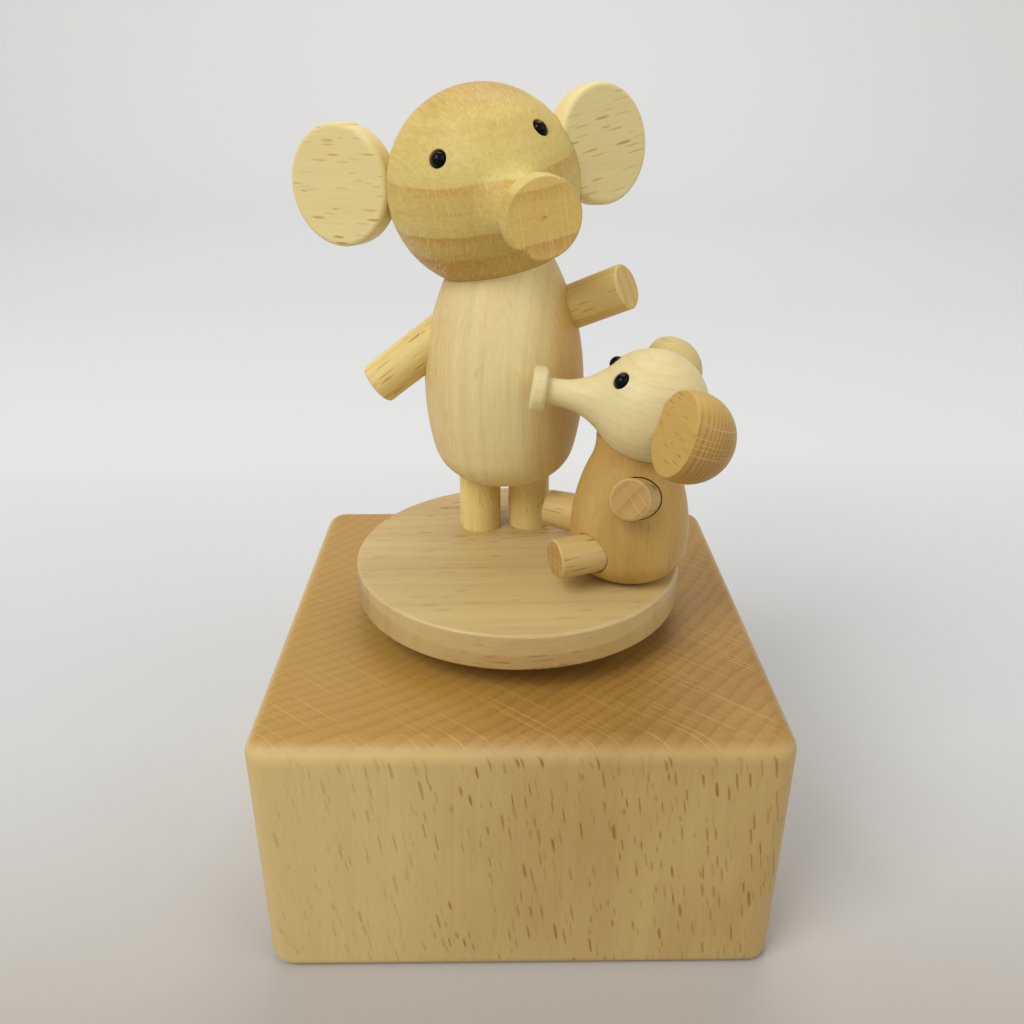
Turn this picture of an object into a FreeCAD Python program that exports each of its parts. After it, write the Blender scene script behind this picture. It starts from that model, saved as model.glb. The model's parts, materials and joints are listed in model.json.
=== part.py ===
# Rotating music box: a beech block with a wind-up comb movement inside, and a round
# turntable on its winding stem that carries a large standing and a small sitting
# wooden elephant. Millimetres, +Z up, origin at the middle of the block's underside,
# front of the block towards -Y.
import FreeCAD, Part
import Sketcher
import math
import os
import re
from FreeCAD import Placement, Rotation, Vector

# Driving dimensions: name, millimetres or degrees, what it is
SIZES = [
    ("block_side", "65", "width and depth of the wooden block"),
    ("block_height", "35.5", "height of the wooden block"),
    ("block_corner_radius", "3.2", "rounding of the block's upright edges"),
    ("block_top_rounding", "2.6", "rounding of the block's top edge"),
    ("block_base_rounding", "1.4", "rounding of the block's bottom edge"),
    ("ceiling_thickness", "6.5", "wood left above the cavity"),
    ("cavity_wall", "7.5", "wood in front of the cavity and behind it"),
    ("cavity_gap", "0.6", "gap round the bedplate in the cavity"),
    ("cavity_corner_radius", "5", "cutter radius in the cavity's corners"),
    ("stem_opening_radius", "3.6", "hole for the stem in the block's top"),
    ("recess_wall", "2", "wood round the recess for the bottom cover"),
    ("cover_thickness", "3", "thickness of the bottom cover"),
    ("cover_corner_radius", "3", "rounding of the bottom cover's corners"),
    ("cover_clearance", "0.2", "gap round the bottom cover in its recess"),
    ("cover_screw_inset", "6.3", "cover screws from the cover's left and right edges"),
    ("wood_screw_radius", "1.1", "shank of the wood screws"),
    ("wood_screw_head_radius", "2", "head of the wood screws"),
    ("wood_screw_head_height", "1.2", "head height of the wood screws"),
    ("screw_sink", "0.2", "heads of the cover screws below the cover's face"),
    ("cover_screw_length", "9", "shank length of the cover screws"),
    ("mount_screw_length", "4.6", "length of the mounting screws in the wood"),
    ("slot_width", "0.5", "driver slot in a screw head"),
    ("slot_depth", "0.5", "depth of a driver slot"),
    ("fit_gap", "0.02", "gap between pieces that are fixed in each other"),
    ("running_gap", "0.04", "gap between a shaft and its bearing"),
    ("disc_radius", "22.5", "radius of the turntable"),
    ("disc_thickness", "5", "thickness of the turntable"),
    ("disc_gap", "3.5", "gap between the block and the turntable"),
    ("disc_edge_rounding", "0.4", "rounding of the turntable's rim edges"),
    ("hub_flange_radius", "5", "flange of the turntable's hub"),
    ("hub_flange_thickness", "1.2", "thickness of the hub's flange"),
    ("hub_boss_radius", "3", "boss of the hub inside the turntable"),
    ("hub_boss_height", "3.6", "height of the boss inside the turntable"),
    ("stem_radius", "1.5", "radius of the winding stem"),
    ("stem_end_gap", "0.3", "stem's end below the top of the hub's boss"),
    ("stem_collar_radius", "2.8", "collar that carries the click spring"),
    ("stem_collar_height", "0.8", "height of that collar"),
    ("click_thickness", "0.3", "thickness of the click spring"),
    ("click_hub_radius", "3.2", "middle of the click spring"),
    ("click_arm_length", "8", "reach of the click spring's arms"),
    ("click_arm_width", "1.6", "width of the click spring's arms"),
    ("click_arm_count", "3", "arms of the click spring"),
    ("bedplate_thickness", "2.4", "thickness of the bedplate"),
    ("bedplate_edge", "0.2", "bedplate's right edge beyond its lug"),
    ("mount_left", "14.5", "mounting screws to the left of the stem"),
    ("mount_right", "9.5", "mounting screws to the right of the stem"),
    ("mount_inset", "4.2", "mounting screws from the bedplate's front and back edges"),
    ("drive_wheel_gap", "0.4", "gap between the bedplate and the drive wheel"),
    ("drive_wheel_web", "1.2", "thickness of the drive wheel's web"),
    ("crown_module", "0.8", "tooth size of the drive wheel"),
    ("crown_teeth", "32", "teeth of the drive wheel"),
    ("crown_face", "1.6", "width of its teeth, along the radius"),
    ("crown_rim", "0.2", "rim outside its teeth"),
    ("cylinder_gear_teeth", "16", "teeth of the gear on the cylinder"),
    ("tooth_share", "0.42", "tooth thickness as a share of the pitch, wheels"),
    ("leaf_share", "0.36", "tooth thickness as a share of the pitch, pinions"),
    ("tooth_height", "0.8", "tooth above the pitch circle, in modules"),
    ("tooth_root", "1.05", "tooth below the pitch circle, in modules"),
    ("tooth_sink", "0.25", "tooth inside its wheel's body, in modules"),
    ("tip_taper", "0.55", "tooth thickness at the tip, as a share"),
    ("root_taper", "1.15", "tooth thickness at the root, as a share"),
    ("housing_gap", "0.6", "gap between the spring housing and the gear-end bearing"),
    ("housing_wall", "0.6", "wall of the spring housing"),
    ("housing_top_gap", "0.8", "gap between the housing and the drive wheel"),
    ("housing_depth", "12", "depth of the spring housing"),
    ("housing_bearing_radius", "3", "boss that carries the stem's lower end"),
    ("housing_bearing_height", "1.6", "height of that boss"),
    ("housing_ear_width", "4.4", "width of the housing's ears"),
    ("housing_ear_drop", "1.6", "ears below the housing's rim"),
    ("housing_ear_thickness", "0.8", "thickness of the ears"),
    ("pillar_circle", "16.2", "distance of the pillars from the stem"),
    ("pillar_radius", "1.5", "radius of the pillars"),
    ("pillar_spigot_radius", "0.9", "spigot of a pillar in the bedplate"),
    ("pillar_spigot_length", "2.2", "length of that spigot"),
    ("pillar_first_angle", "75", "place of the first pillar"),
    ("pillar_angle_step", "105", "angle between the pillars"),
    ("machine_screw_radius", "0.8", "shank of the small machine screws"),
    ("machine_screw_head_radius", "1.5", "head of the small machine screws"),
    ("machine_screw_head_height", "0.9", "head height of the machine screws"),
    ("machine_screw_length", "3.2", "shank length of the machine screws"),
    ("spring_pitch", "0.9", "step of the mainspring's turns"),
    ("spring_strip", "0.3", "thickness of the mainspring's strip"),
    ("spring_width", "7.5", "width of the mainspring's strip"),
    ("spring_gap", "0.2", "mainspring above the housing's bearing boss"),
    ("spring_half_turns", "15", "half turns of the mainspring"),
    ("gear_gap", "0.2", "gap between a gear and the plate beside it"),
    ("bearing_plate_thickness", "0.8", "thickness of the gear-end bearing"),
    ("bearing_arm_height", "4.2", "height of the bearing's arm"),
    ("bearing_arm_front", "12.4", "reach of the bearing to the front"),
    ("bearing_arm_back", "2.2", "reach of the bearing past the cylinder's axis"),
    ("bearing_post_width", "3", "width of the bearing's post"),
    ("bearing_foot_length", "4.2", "length of the bearing's foot"),
    ("bearing_foot_thickness", "1", "thickness of the bearing's foot"),
    ("cylinder_left", "13.9", "start of the cylinder, from the stem"),
    ("cylinder_length", "9.2", "length of the cylinder"),
    ("cylinder_radius", "4.7", "outside radius of the cylinder"),
    ("cylinder_wall", "0.7", "wall of the cylinder"),
    ("cylinder_boss_length", "1", "boss of each gear inside the cylinder"),
    ("arbor_radius", "0.8", "radius of the cylinder's arbor"),
    ("pin_radius", "0.14", "radius of the cylinder's pins"),
    ("pin_height", "0.7", "height of the pins above the cylinder"),
    ("pin_rows", "18", "rows of pins, one for each tooth of the comb"),
    ("pins_in_row", "4", "pins in each row"),
    ("row_pitch", "0.48", "distance between the rows"),
    ("pin_row_turn", "137.5", "turn from one row's first pin to the next"),
    ("comb_thickness", "0.9", "thickness of the comb"),
    ("comb_margin", "0.4", "comb's base beyond its outer teeth"),
    ("comb_slot", "0.15", "slot between two teeth of the comb"),
    ("comb_tooth_length", "7.4", "length of the comb's teeth"),
    ("comb_base_depth", "6", "depth of the comb's base"),
    ("comb_pad_setback", "0.8", "pad's edge behind the root of the comb's teeth"),
    ("comb_pin_gap", "0.15", "gap between the comb's tips and the pins"),
    ("comb_screw_spacing", "5.2", "distance between the comb's screws"),
    ("lug_gap", "0.4", "gap between the timing wheel and the bedplate's lug"),
    ("lug_thickness", "1.4", "thickness of the bedplate's lug"),
    ("lug_width", "6", "width of the bedplate's lug"),
    ("lug_reach", "3.2", "lug below the cylinder's axis"),
    ("timing_gap", "0.3", "gap between the cylinder and the timing wheel"),
    ("timing_width", "1.2", "width of the timing wheel"),
    ("timing_module", "0.4", "tooth size of the timing wheel"),
    ("timing_teeth", "40", "teeth of the timing wheel"),
    ("first_pinion_teeth", "8", "leaves of the first pinion"),
    ("first_pinion_width", "1.4", "length of the first pinion's leaves"),
    ("first_angle", "-16", "direction from the cylinder to the first arbor"),
    ("train_module", "0.3", "tooth size of the first wheel"),
    ("first_wheel_teeth", "24", "teeth of the first wheel"),
    ("first_wheel_width", "1", "width of the first wheel"),
    ("first_wheel_setback", "2.2", "first wheel to the left of the timing wheel"),
    ("second_pinion_teeth", "8", "leaves of the second pinion"),
    ("second_pinion_width", "1.4", "length of the second pinion's leaves"),
    ("second_angle", "23", "direction from the first arbor to the second"),
    ("worm_module", "0.35", "tooth size of the worm wheel"),
    ("worm_wheel_teeth", "20", "teeth of the worm wheel"),
    ("worm_wheel_width", "1.2", "width of the worm wheel"),
    ("worm_setback", "2.2", "worm's axis to the left of the first wheel"),
    ("worm_pitch_radius", "1.2", "pitch radius of the worm"),
    ("worm_thread_share", "0.3", "worm's thread thickness as a share of its pitch"),
    ("worm_turns", "5", "turns of the worm's thread"),
    ("train_arbor_radius", "0.5", "radius of the governor's arbors"),
    ("frame_reach", "4.8", "frame's left face to the left of the worm"),
    ("frame_front", "7.5", "front of the governor's frame"),
    ("frame_wall", "1", "wall of the governor's frame"),
    ("frame_drop", "18.6", "reach of the frame below the bedplate"),
    ("frame_arm_thickness", "1.2", "thickness of the worm's lower arm"),
    ("frame_arm_half_width", "1.6", "half width of the worm's lower arm"),
    ("frame_cheek_reach", "3", "right cheek beyond the arbors"),
    ("frame_screw_front_inset", "3.4", "front frame screw, from the frame's left face"),
    ("frame_screw_front_y", "10.4", "front frame screw, behind the stem"),
    ("frame_screw_back_inset", "2.7", "back frame screw, from the frame's right face"),
    ("frame_screw_back_y", "17.9", "back frame screw, behind the stem"),
    ("pivot_gap", "0.1", "end play of the governor's arbors"),
    ("fly_half_width", "3.3", "half width of the fly"),
    ("fly_height", "3", "height of the fly"),
    ("fly_thickness", "0.4", "thickness of the fly's blade"),
    ("fly_hub_radius", "1.3", "hub of the fly"),
    ("fly_foot_gap", "0.6", "fly above the worm's lower bearing"),
    ("limb_radius", "3", "radius of the large figure's arms and legs"),
    ("limb_chamfer", "0.25", "chamfer on the ends of arms and legs"),
    ("leg_seat", "2", "depth of the legs' holes in the turntable"),
    ("leg_hole_depth", "5", "depth of the legs' holes in the body"),
    ("eye_radius", "1", "radius of an eye bead"),
    ("eye_gap", "0.1", "gap between an eye bead and its socket"),
    ("eye_socket_chamfer", "0.12", "chamfer on the socket's edge"),
    ("eye_depth", "0.5", "middle of the bead below the head's face"),
    ("eye_peg_radius", "0.6", "peg of an eye"),
    ("eye_peg_length", "3", "peg's end below the head's face"),
    ("elephant_x", "-1.8", "large figure, to the right of the stem"),
    ("elephant_y", "9.2", "large figure, behind the stem"),
    ("elephant_stand", "8", "leg between the turntable and the body"),
    ("elephant_turn", "5", "line through its legs, turned from left-right"),
    ("elephant_left_leg_azimuth", "0", "direction of the left leg"),
    ("elephant_left_leg_elevation", "-90", "rise of the left leg"),
    ("elephant_right_leg_azimuth", "0", "direction of the right leg"),
    ("elephant_right_leg_elevation", "-90", "rise of the right leg"),
    ("elephant_leg_spacing", "7.2", "distance between the large figure's legs"),
    ("elephant_body_shoulder", "32.5", "height where the large body's curve ends"),
    ("elephant_body_collar", "0.5", "straight collar above it"),
    ("elephant_body_collar_blend", "1.5", "rounding where the collar starts"),
    ("elephant_body_radius", "11.1", "large body at its widest"),
    ("elephant_body_widest", "13.8", "height of its widest place"),
    ("elephant_body_side_radius", "35.6", "curve of its side"),
    ("elephant_body_foot_radius", "6.5", "curve at its lower edge"),
    ("elephant_head_radius", "12.5", "large head's ball"),
    ("elephant_head_x", "-2.6", "large head, to the right of the body"),
    ("elephant_head_y", "0", "large head, behind the body"),
    ("elephant_head_height", "39.8", "large head's middle above the body's foot"),
    ("elephant_trunk_azimuth", "-69.1", "direction of the large trunk"),
    ("elephant_trunk_elevation", "-4.1", "rise of the large trunk"),
    ("elephant_trunk_length", "20", "trunk's end from the head's middle"),
    ("elephant_trunk_neck_radius", "3.4", "thin part of the large trunk"),
    ("elephant_trunk_flare_radius", "4.5", "hollow curve between head and trunk"),
    ("elephant_trunk_flange_radius", "4.7", "end flange of the large trunk"),
    ("elephant_trunk_flange_width", "2.4", "thickness of that flange"),
    ("elephant_trunk_rounding", "0.3", "rounding of that flange"),
    ("elephant_right_eye_azimuth", "243.6", "direction of the large right eye"),
    ("elephant_right_eye_elevation", "20.1", "rise of the large right eye"),
    ("elephant_left_eye_azimuth", "314.9", "direction of the large left eye"),
    ("elephant_left_eye_elevation", "37.3", "rise of the large left eye"),
    ("elephant_right_ear_radius", "7.7", "radius of the large right ear"),
    ("elephant_left_ear_radius", "7.4", "radius of the large left ear"),
    ("elephant_ear_thickness", "3.1", "thickness of the large ears"),
    ("elephant_ear_rounding", "0.7", "rounding of the large ears' edges"),
    ("elephant_right_ear_x", "-19.1", "face of the large right ear, x from the head's middle"),
    ("elephant_right_ear_y", "1.3", "face of the large right ear, y"),
    ("elephant_right_ear_height", "0.1", "face of the large right ear, height"),
    ("elephant_right_ear_azimuth", "242", "direction that the right ear faces"),
    ("elephant_right_ear_elevation", "1", "rise of that direction"),
    ("elephant_left_ear_x", "15.7", "face of the large left ear, x from the head's middle"),
    ("elephant_left_ear_y", "1.3", "face of the large left ear, y"),
    ("elephant_left_ear_height", "5.2", "face of the large left ear, height"),
    ("elephant_left_ear_azimuth", "306.6", "direction that the left ear faces"),
    ("elephant_left_ear_elevation", "6", "rise of that direction"),
    ("elephant_right_arm_x", "-17.8", "end of the large right arm, x from the body's foot"),
    ("elephant_right_arm_y", "0", "end of the large right arm, y"),
    ("elephant_right_arm_height", "13.6", "end of the large right arm, height"),
    ("elephant_right_arm_azimuth", "180", "direction of the large right arm"),
    ("elephant_right_arm_elevation", "-37.3", "rise of the large right arm"),
    ("elephant_left_arm_x", "16", "end of the large left arm, x from the body's foot"),
    ("elephant_left_arm_y", "-4.7", "end of the large left arm, y"),
    ("elephant_left_arm_height", "28.2", "end of the large left arm, height"),
    ("elephant_left_arm_azimuth", "-30", "direction of the large left arm"),
    ("elephant_left_arm_elevation", "24.4", "rise of the large left arm"),
    ("elephant_arm_length", "15", "length of the large arms"),
    ("calf_x", "14.8", "small figure, to the right of the stem"),
    ("calf_y", "-5.2", "small figure, behind the stem"),
    ("calf_body_shoulder", "17.2", "height where the small body's curve ends"),
    ("calf_body_collar", "2.2", "straight collar above it"),
    ("calf_body_collar_blend", "6", "rounding where the collar starts"),
    ("calf_body_radius", "7.85", "small body at its widest"),
    ("calf_body_widest", "5.8", "height of its widest place"),
    ("calf_body_side_radius", "23.2", "curve of its side"),
    ("calf_body_foot_radius", "4.2", "curve at its lower edge"),
    ("calf_head_radius", "7.25", "small head's ball"),
    ("calf_head_x", "1.7", "small head, to the right of the body"),
    ("calf_head_y", "-0.8", "small head, behind the body"),
    ("calf_head_height", "23.3", "small head's middle above the body's foot"),
    ("calf_trunk_azimuth", "176.3", "direction of the small trunk"),
    ("calf_trunk_elevation", "8", "rise of the small trunk"),
    ("calf_trunk_length", "15.15", "trunk's end from the head's middle"),
    ("calf_trunk_neck_radius", "1.7", "thin part of the small trunk"),
    ("calf_trunk_flare_radius", "8.4", "hollow curve between head and trunk"),
    ("calf_trunk_flange_radius", "2.95", "end flange of the small trunk"),
    ("calf_trunk_flange_width", "1.9", "thickness of that flange"),
    ("calf_trunk_rounding", "0.6", "rounding of that flange"),
    ("calf_left_eye_azimuth", "218.3", "direction of the small left eye"),
    ("calf_left_eye_elevation", "38.5", "rise of the small left eye"),
    ("calf_right_eye_azimuth", "158", "direction of the small right eye"),
    ("calf_right_eye_elevation", "47.5", "rise of the small right eye"),
    ("calf_left_ear_radius", "5.45", "ball that the small left ear is cut from"),
    ("calf_right_ear_radius", "4.7", "ball that the small right ear is cut from"),
    ("calf_ear_face_reach", "1.95", "flat face of each in front of the ball's middle"),
    ("calf_ear_rounding", "0.2", "rounding of the face's edge"),
    ("calf_left_ear_x", "0.9", "face of the small left ear, x from the head's middle"),
    ("calf_left_ear_y", "-11.5", "face of the small left ear, y"),
    ("calf_left_ear_height", "0.6", "face of the small left ear, height"),
    ("calf_left_ear_azimuth", "193.4", "direction that the left ear faces"),
    ("calf_left_ear_elevation", "18.2", "rise of that direction"),
    ("calf_right_ear_x", "2.15", "face of the small right ear, x from the head's middle"),
    ("calf_right_ear_y", "11.7", "face of the small right ear, y"),
    ("calf_right_ear_height", "1.6", "face of the small right ear, height"),
    ("calf_right_ear_azimuth", "140.9", "direction that the right ear faces"),
    ("calf_right_ear_elevation", "5.3", "rise of that direction"),
    ("calf_limb_radius", "2.6", "radius of the small arms and legs"),
    ("calf_left_arm_x", "-1.5", "end of the small left arm, x from the body's foot"),
    ("calf_left_arm_y", "-9.3", "end of the small left arm, y"),
    ("calf_left_arm_height", "14.3", "end of the small left arm, height"),
    ("calf_left_arm_azimuth", "245", "direction of the small left arm"),
    ("calf_left_arm_elevation", "20", "rise of the small left arm"),
    ("calf_right_arm_x", "-0.1", "end of the small right arm, x from the body's foot"),
    ("calf_right_arm_y", "9.4", "end of the small right arm, y"),
    ("calf_right_arm_height", "14.3", "end of the small right arm, height"),
    ("calf_right_arm_azimuth", "107", "direction of the small right arm"),
    ("calf_right_arm_elevation", "20", "rise of the small right arm"),
    ("calf_arm_length", "6.5", "length of the small arms"),
    ("calf_left_leg_x", "-10.3", "end of the small left leg, x from the body's foot"),
    ("calf_left_leg_y", "-6.6", "end of the small left leg, y"),
    ("calf_left_leg_azimuth", "200.2", "direction of the small left leg"),
    ("calf_left_leg_elevation", "0", "rise of the small left leg"),
    ("calf_right_leg_x", "-10.2", "end of the small right leg, x from the body's foot"),
    ("calf_right_leg_y", "9.2", "end of the small right leg, y"),
    ("calf_right_leg_azimuth", "148.5", "direction of the small right leg"),
    ("calf_right_leg_elevation", "0", "rise of the small right leg"),
    ("calf_leg_length", "9", "length of the small legs"),
    ("calf_leg_lift", "2.2", "small legs above the turntable"),
]

# Places that several pieces share, worked out from the driving dimensions
PLACES = [
    ("ceiling_z", "block_height - ceiling_thickness"),
    ("bedplate_under", "ceiling_z - bedplate_thickness"),
    ("drive_wheel_top", "bedplate_under - drive_wheel_gap"),
    ("drive_wheel_under", "drive_wheel_top - drive_wheel_web"),
    ("click_under", "drive_wheel_under - fit_gap - click_thickness"),
    ("crown_radius", "crown_teeth * crown_module / 2"),
    ("cylinder_gear_radius", "cylinder_gear_teeth * crown_module / 2"),
    ("cylinder_z", "drive_wheel_under - tooth_root * crown_module - cylinder_gear_radius"),
    ("gear_left", "crown_radius - crown_face / 2"),
    ("gear_right", "gear_left + crown_face"),
    ("bearing_plate_left", "gear_left - gear_gap - bearing_plate_thickness"),
    ("housing_radius", "bearing_plate_left - housing_gap"),
    ("cylinder_right", "cylinder_left + cylinder_length"),
    ("cylinder_bore", "cylinder_radius - cylinder_wall"),
    ("timing_left", "cylinder_right + timing_gap"),
    ("first_wheel_left", "timing_left - first_wheel_setback"),
    ("worm_x", "first_wheel_left - worm_setback"),
    ("frame_left", "worm_x - frame_reach"),
    ("frame_right", "timing_left + (timing_width + first_pinion_width) / 2 + gear_gap + frame_wall"),
    ("frame_screw_front_x", "frame_left + frame_screw_front_inset"),
    ("frame_screw_back_x", "frame_right - frame_screw_back_inset"),
    ("lug_left", "timing_left + timing_width + lug_gap"),
    ("lug_right", "lug_left + lug_thickness"),
    ("bedplate_left", "pillar_circle + housing_ear_width / 2"),
    ("bedplate_right", "lug_right + bedplate_edge"),
    ("cavity_left", "bedplate_left + cavity_gap"),
    ("cavity_right", "bedplate_right + cavity_gap"),
    ("cavity_half_depth", "block_side / 2 - cavity_wall"),
    ("bedplate_half_depth", "cavity_half_depth - cavity_gap"),
    ("bedplate_corner_radius", "cavity_corner_radius - cavity_gap"),
    ("mount_depth", "bedplate_half_depth - mount_inset"),
    ("housing_top", "drive_wheel_under - housing_top_gap"),
    ("housing_end", "housing_top - housing_depth"),
    ("housing_bore", "housing_radius - housing_wall"),
    ("ear_top", "housing_top - housing_ear_drop"),
    ("pillar_height", "bedplate_under - ear_top"),
    ("comb_tip", "cylinder_radius + pin_height + comb_pin_gap"),
    ("comb_root", "comb_tip + comb_tooth_length"),
    ("comb_front", "comb_root + comb_base_depth"),
    ("comb_middle", "comb_root + comb_base_depth / 2"),
    ("comb_left", "cylinder_left + (cylinder_length - pin_rows * row_pitch) / 2 - comb_margin"),
    ("comb_width", "pin_rows * row_pitch + 2 * comb_margin"),
    ("first_row_x", "cylinder_left + (cylinder_length - (pin_rows - 1) * row_pitch) / 2"),
    ("first_reach", "(timing_teeth + first_pinion_teeth) * timing_module / 2"),
    ("first_y", "first_reach * cos(first_angle * 1deg)"),
    ("first_z", "cylinder_z + first_reach * sin(first_angle * 1deg)"),
    ("second_reach", "(first_wheel_teeth + second_pinion_teeth) * train_module / 2"),
    ("second_y", "first_y + second_reach * cos(second_angle * 1deg)"),
    ("second_z", "first_z + second_reach * sin(second_angle * 1deg)"),
    ("worm_y", "second_y + worm_wheel_teeth * worm_module / 2 + worm_pitch_radius"),
    ("frame_under", "bedplate_under - frame_wall"),
    ("frame_foot", "bedplate_under - frame_drop"),
    ("frame_width", "frame_right - frame_left"),
    ("frame_depth", "worm_y + frame_arm_half_width - frame_front"),
    ("fly_z", "frame_foot + frame_arm_thickness + fly_foot_gap"),
    ("bearing_screw_x", "bearing_plate_left + (bearing_plate_thickness + bearing_foot_length) / 2"),
    ("bearing_screw_y", "bearing_post_width / 2 - bearing_arm_front"),
    ("disc_under", "block_height + disc_gap"),
    ("disc_top", "disc_under + disc_thickness"),
    ("stem_top", "disc_under + hub_boss_height - stem_end_gap"),
    ("stem_bottom", "housing_end - stem_end_gap"),
    ("eye_socket_radius", "eye_radius + eye_gap"),
    ("eye_socket_depth", "eye_depth + eye_radius + fit_gap"),
    ("eye_hole_depth", "eye_peg_length + fit_gap"),
    ("recess_half", "block_side / 2 - recess_wall"),
    ("cover_half", "recess_half - cover_clearance"),
    ("cover_screw_x", "cover_half - cover_screw_inset"),
    ("cover_screw_y", "(cavity_half_depth + recess_half) / 2"),
    ("cover_screw_z", "screw_sink + wood_screw_head_height"),
    ("elephant_left_leg_x", "elephant_leg_spacing / 2 * cos(elephant_turn * 1deg)"),
    ("elephant_left_leg_y", "elephant_leg_spacing / 2 * sin(elephant_turn * 1deg)"),
    ("elephant_right_leg_x", "-elephant_leg_spacing / 2 * cos(elephant_turn * 1deg)"),
    ("elephant_right_leg_y", "-elephant_leg_spacing / 2 * sin(elephant_turn * 1deg)"),
    ("elephant_left_leg_height", "fit_gap - leg_seat - elephant_stand"),
    ("elephant_right_leg_height", "fit_gap - leg_seat - elephant_stand"),
    ("elephant_leg_length", "leg_seat + elephant_stand + leg_hole_depth - fit_gap"),
    ("elephant_body_height", "elephant_body_shoulder + elephant_body_collar"),
    ("calf_body_height", "calf_body_shoulder + calf_body_collar"),
    ("calf_left_leg_height", "calf_limb_radius + calf_leg_lift"),
    ("calf_right_leg_height", "calf_limb_radius + calf_leg_lift"),
]

doc = FreeCAD.newDocument("RotatingMusicBox")
sheet = doc.addObject("Spreadsheet::Sheet", "Sizes")
for row, (alias, number, meaning) in enumerate(SIZES, start=1):
    sheet.set(f"A{row}", meaning)
    sheet.set(f"B{row}", number)
    sheet.setAlias(f"B{row}", alias)
doc.recompute()

OWNERS = {alias: "Sizes" for alias, number, meaning in SIZES}
OWNERS.update({name: "Places" for name, expression in PLACES})


def bound(expression):
    """The expression with each dimension's name pointed at the object that holds it."""
    def point(word):
        owner = OWNERS.get(word.group(0))
        return f"{owner}.{word.group(0)}" if owner else word.group(0)
    return re.sub(r"[a-z]+(?:_[a-z]+)+", point, expression)


def bind(thing, sizes):
    for name, expression in sizes.items():
        thing.setExpression(name, bound(expression))


places = doc.addObject("App::VarSet", "Places")
for name, expression in PLACES:
    places.addProperty("App::PropertyFloat", name, "Places")
    bind(places, {name: expression})
doc.recompute()

ABOUT_Z = Vector(0, 0, 1)
QUARTER_TURN = 90
HALF_TURN = 180
FULL_TURN = 360
LEVEL = Rotation(Vector(0, 1, 0), QUARTER_TURN)
pieces = []


def size(name):
    return float(getattr(places if OWNERS[name] == "Places" else sheet, name))


def spot(x, y, z):
    return Vector(size(x), size(y), size(z))


def new_body(label, place=Placement()):
    body = doc.addObject("PartDesign::Body", label)
    body.Label = label
    body.Placement = place
    pieces.append(body)
    return body


def at(feature, x, y, z):
    bind(feature, {"Placement.Base.x": x, "Placement.Base.y": y, "Placement.Base.z": z})


def primitive(body, kind, sizes, x, y, z, turned):
    """A box, cylinder or sphere that is added to a body or taken from it."""
    feature = body.newObject("PartDesign::" + kind, kind)
    if turned is None:
        at(feature, x, y, z)
    else:
        feature.Placement = turned
    bind(feature, sizes)
    return feature


def post(body, radius, height, x="0", y="0", z="0", turned=None):
    return primitive(body, "AdditiveCylinder", {"Radius": radius, "Height": height}, x, y, z, turned)


def bore(body, radius, height, x="0", y="0", z="0", turned=None):
    return primitive(body, "SubtractiveCylinder", {"Radius": radius, "Height": height}, x, y, z, turned)


def slab(body, length, width, height, x="0", y="0", z="0", turned=None):
    box = {"Length": length, "Width": width, "Height": height}
    return primitive(body, "AdditiveBox", box, x, y, z, turned)


def trench(body, length, width, height, x="0", y="0", z="0"):
    box = {"Length": length, "Width": width, "Height": height}
    return primitive(body, "SubtractiveBox", box, x, y, z, None)


def ease(body, radius, wanted, kind="Fillet"):
    """Round or chamfer the edges of a body for which wanted(edge) is true."""
    doc.recompute()
    base = body.Tip
    edges = [
        f"Edge{i}" for i, edge in enumerate(base.Shape.Edges, start=1)
        if not edge.Degenerated and wanted(edge)
    ]
    feature = body.newObject("PartDesign::" + kind, kind)
    feature.Base = (base, edges)
    bind(feature, {"Radius" if kind == "Fillet" else "Size": radius})
    return feature


def close(one, other):
    return abs(one - other) < 0.001


def upright(edge):
    return close(edge.BoundBox.XLength + edge.BoundBox.YLength, 0)


def level_at(height):
    def wanted(edge):
        return close(edge.BoundBox.ZLength, 0) and close(edge.BoundBox.ZMin, height)
    return wanted


def standing_at(xs, ys):
    """Upright edges at the corners of a rectangle."""
    def wanted(edge):
        middle = edge.BoundBox.Center
        across = any(close(middle.x, x) for x in xs)
        return upright(edge) and across and any(close(middle.y, y) for y in ys)
    return wanted


def rim_of(radius):
    """Round edges of a given radius."""
    def wanted(edge):
        return edge.Curve.TypeId == "Part::GeomCircle" and close(edge.Curve.Radius, radius)
    return wanted


def origin_feature(body, role):
    return [feature for feature in body.Origin.OriginFeatures if feature.Role == role][0]


def new_sketch(body, plane, lift="0"):
    sketch = body.newObject("Sketcher::SketchObject", "Outline")
    sketch.AttachmentSupport = [(origin_feature(body, plane), "")]
    sketch.MapMode = "FlatFace"
    bind(sketch, {"AttachmentOffset.Base.z": lift})
    return sketch


def pin_point(sketch, line, end, across, up, guess):
    """Hold one end of a line at a place given by two expressions."""
    directions = ((across, "DistanceX", -2, guess.x), (up, "DistanceY", -1, guess.y))
    for expression, kind, axis, value in directions:
        if expression == "0":
            sketch.addConstraint(Sketcher.Constraint("PointOnObject", line, end, axis))
        else:
            number = sketch.addConstraint(Sketcher.Constraint(kind, -1, 1, line, end, value))
            bind(sketch, {f"Constraints[{number}]": expression})


def draw(sketch, corners):
    """A closed outline of straight lines through corners given as expressions."""
    count = len(corners)
    turns = [2 * math.pi * i / count for i in range(count)]
    guess = [Vector(math.cos(turn), math.sin(turn), 0) for turn in turns]
    for i in range(count):
        sketch.addGeometry(Part.LineSegment(guess[i], guess[(i + 1) % count]), False)
    for i in range(count):
        sketch.addConstraint(Sketcher.Constraint("Coincident", i, 2, (i + 1) % count, 1))
    for i, (across, up) in enumerate(corners):
        pin_point(sketch, i, 1, across, up, guess[i])


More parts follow.
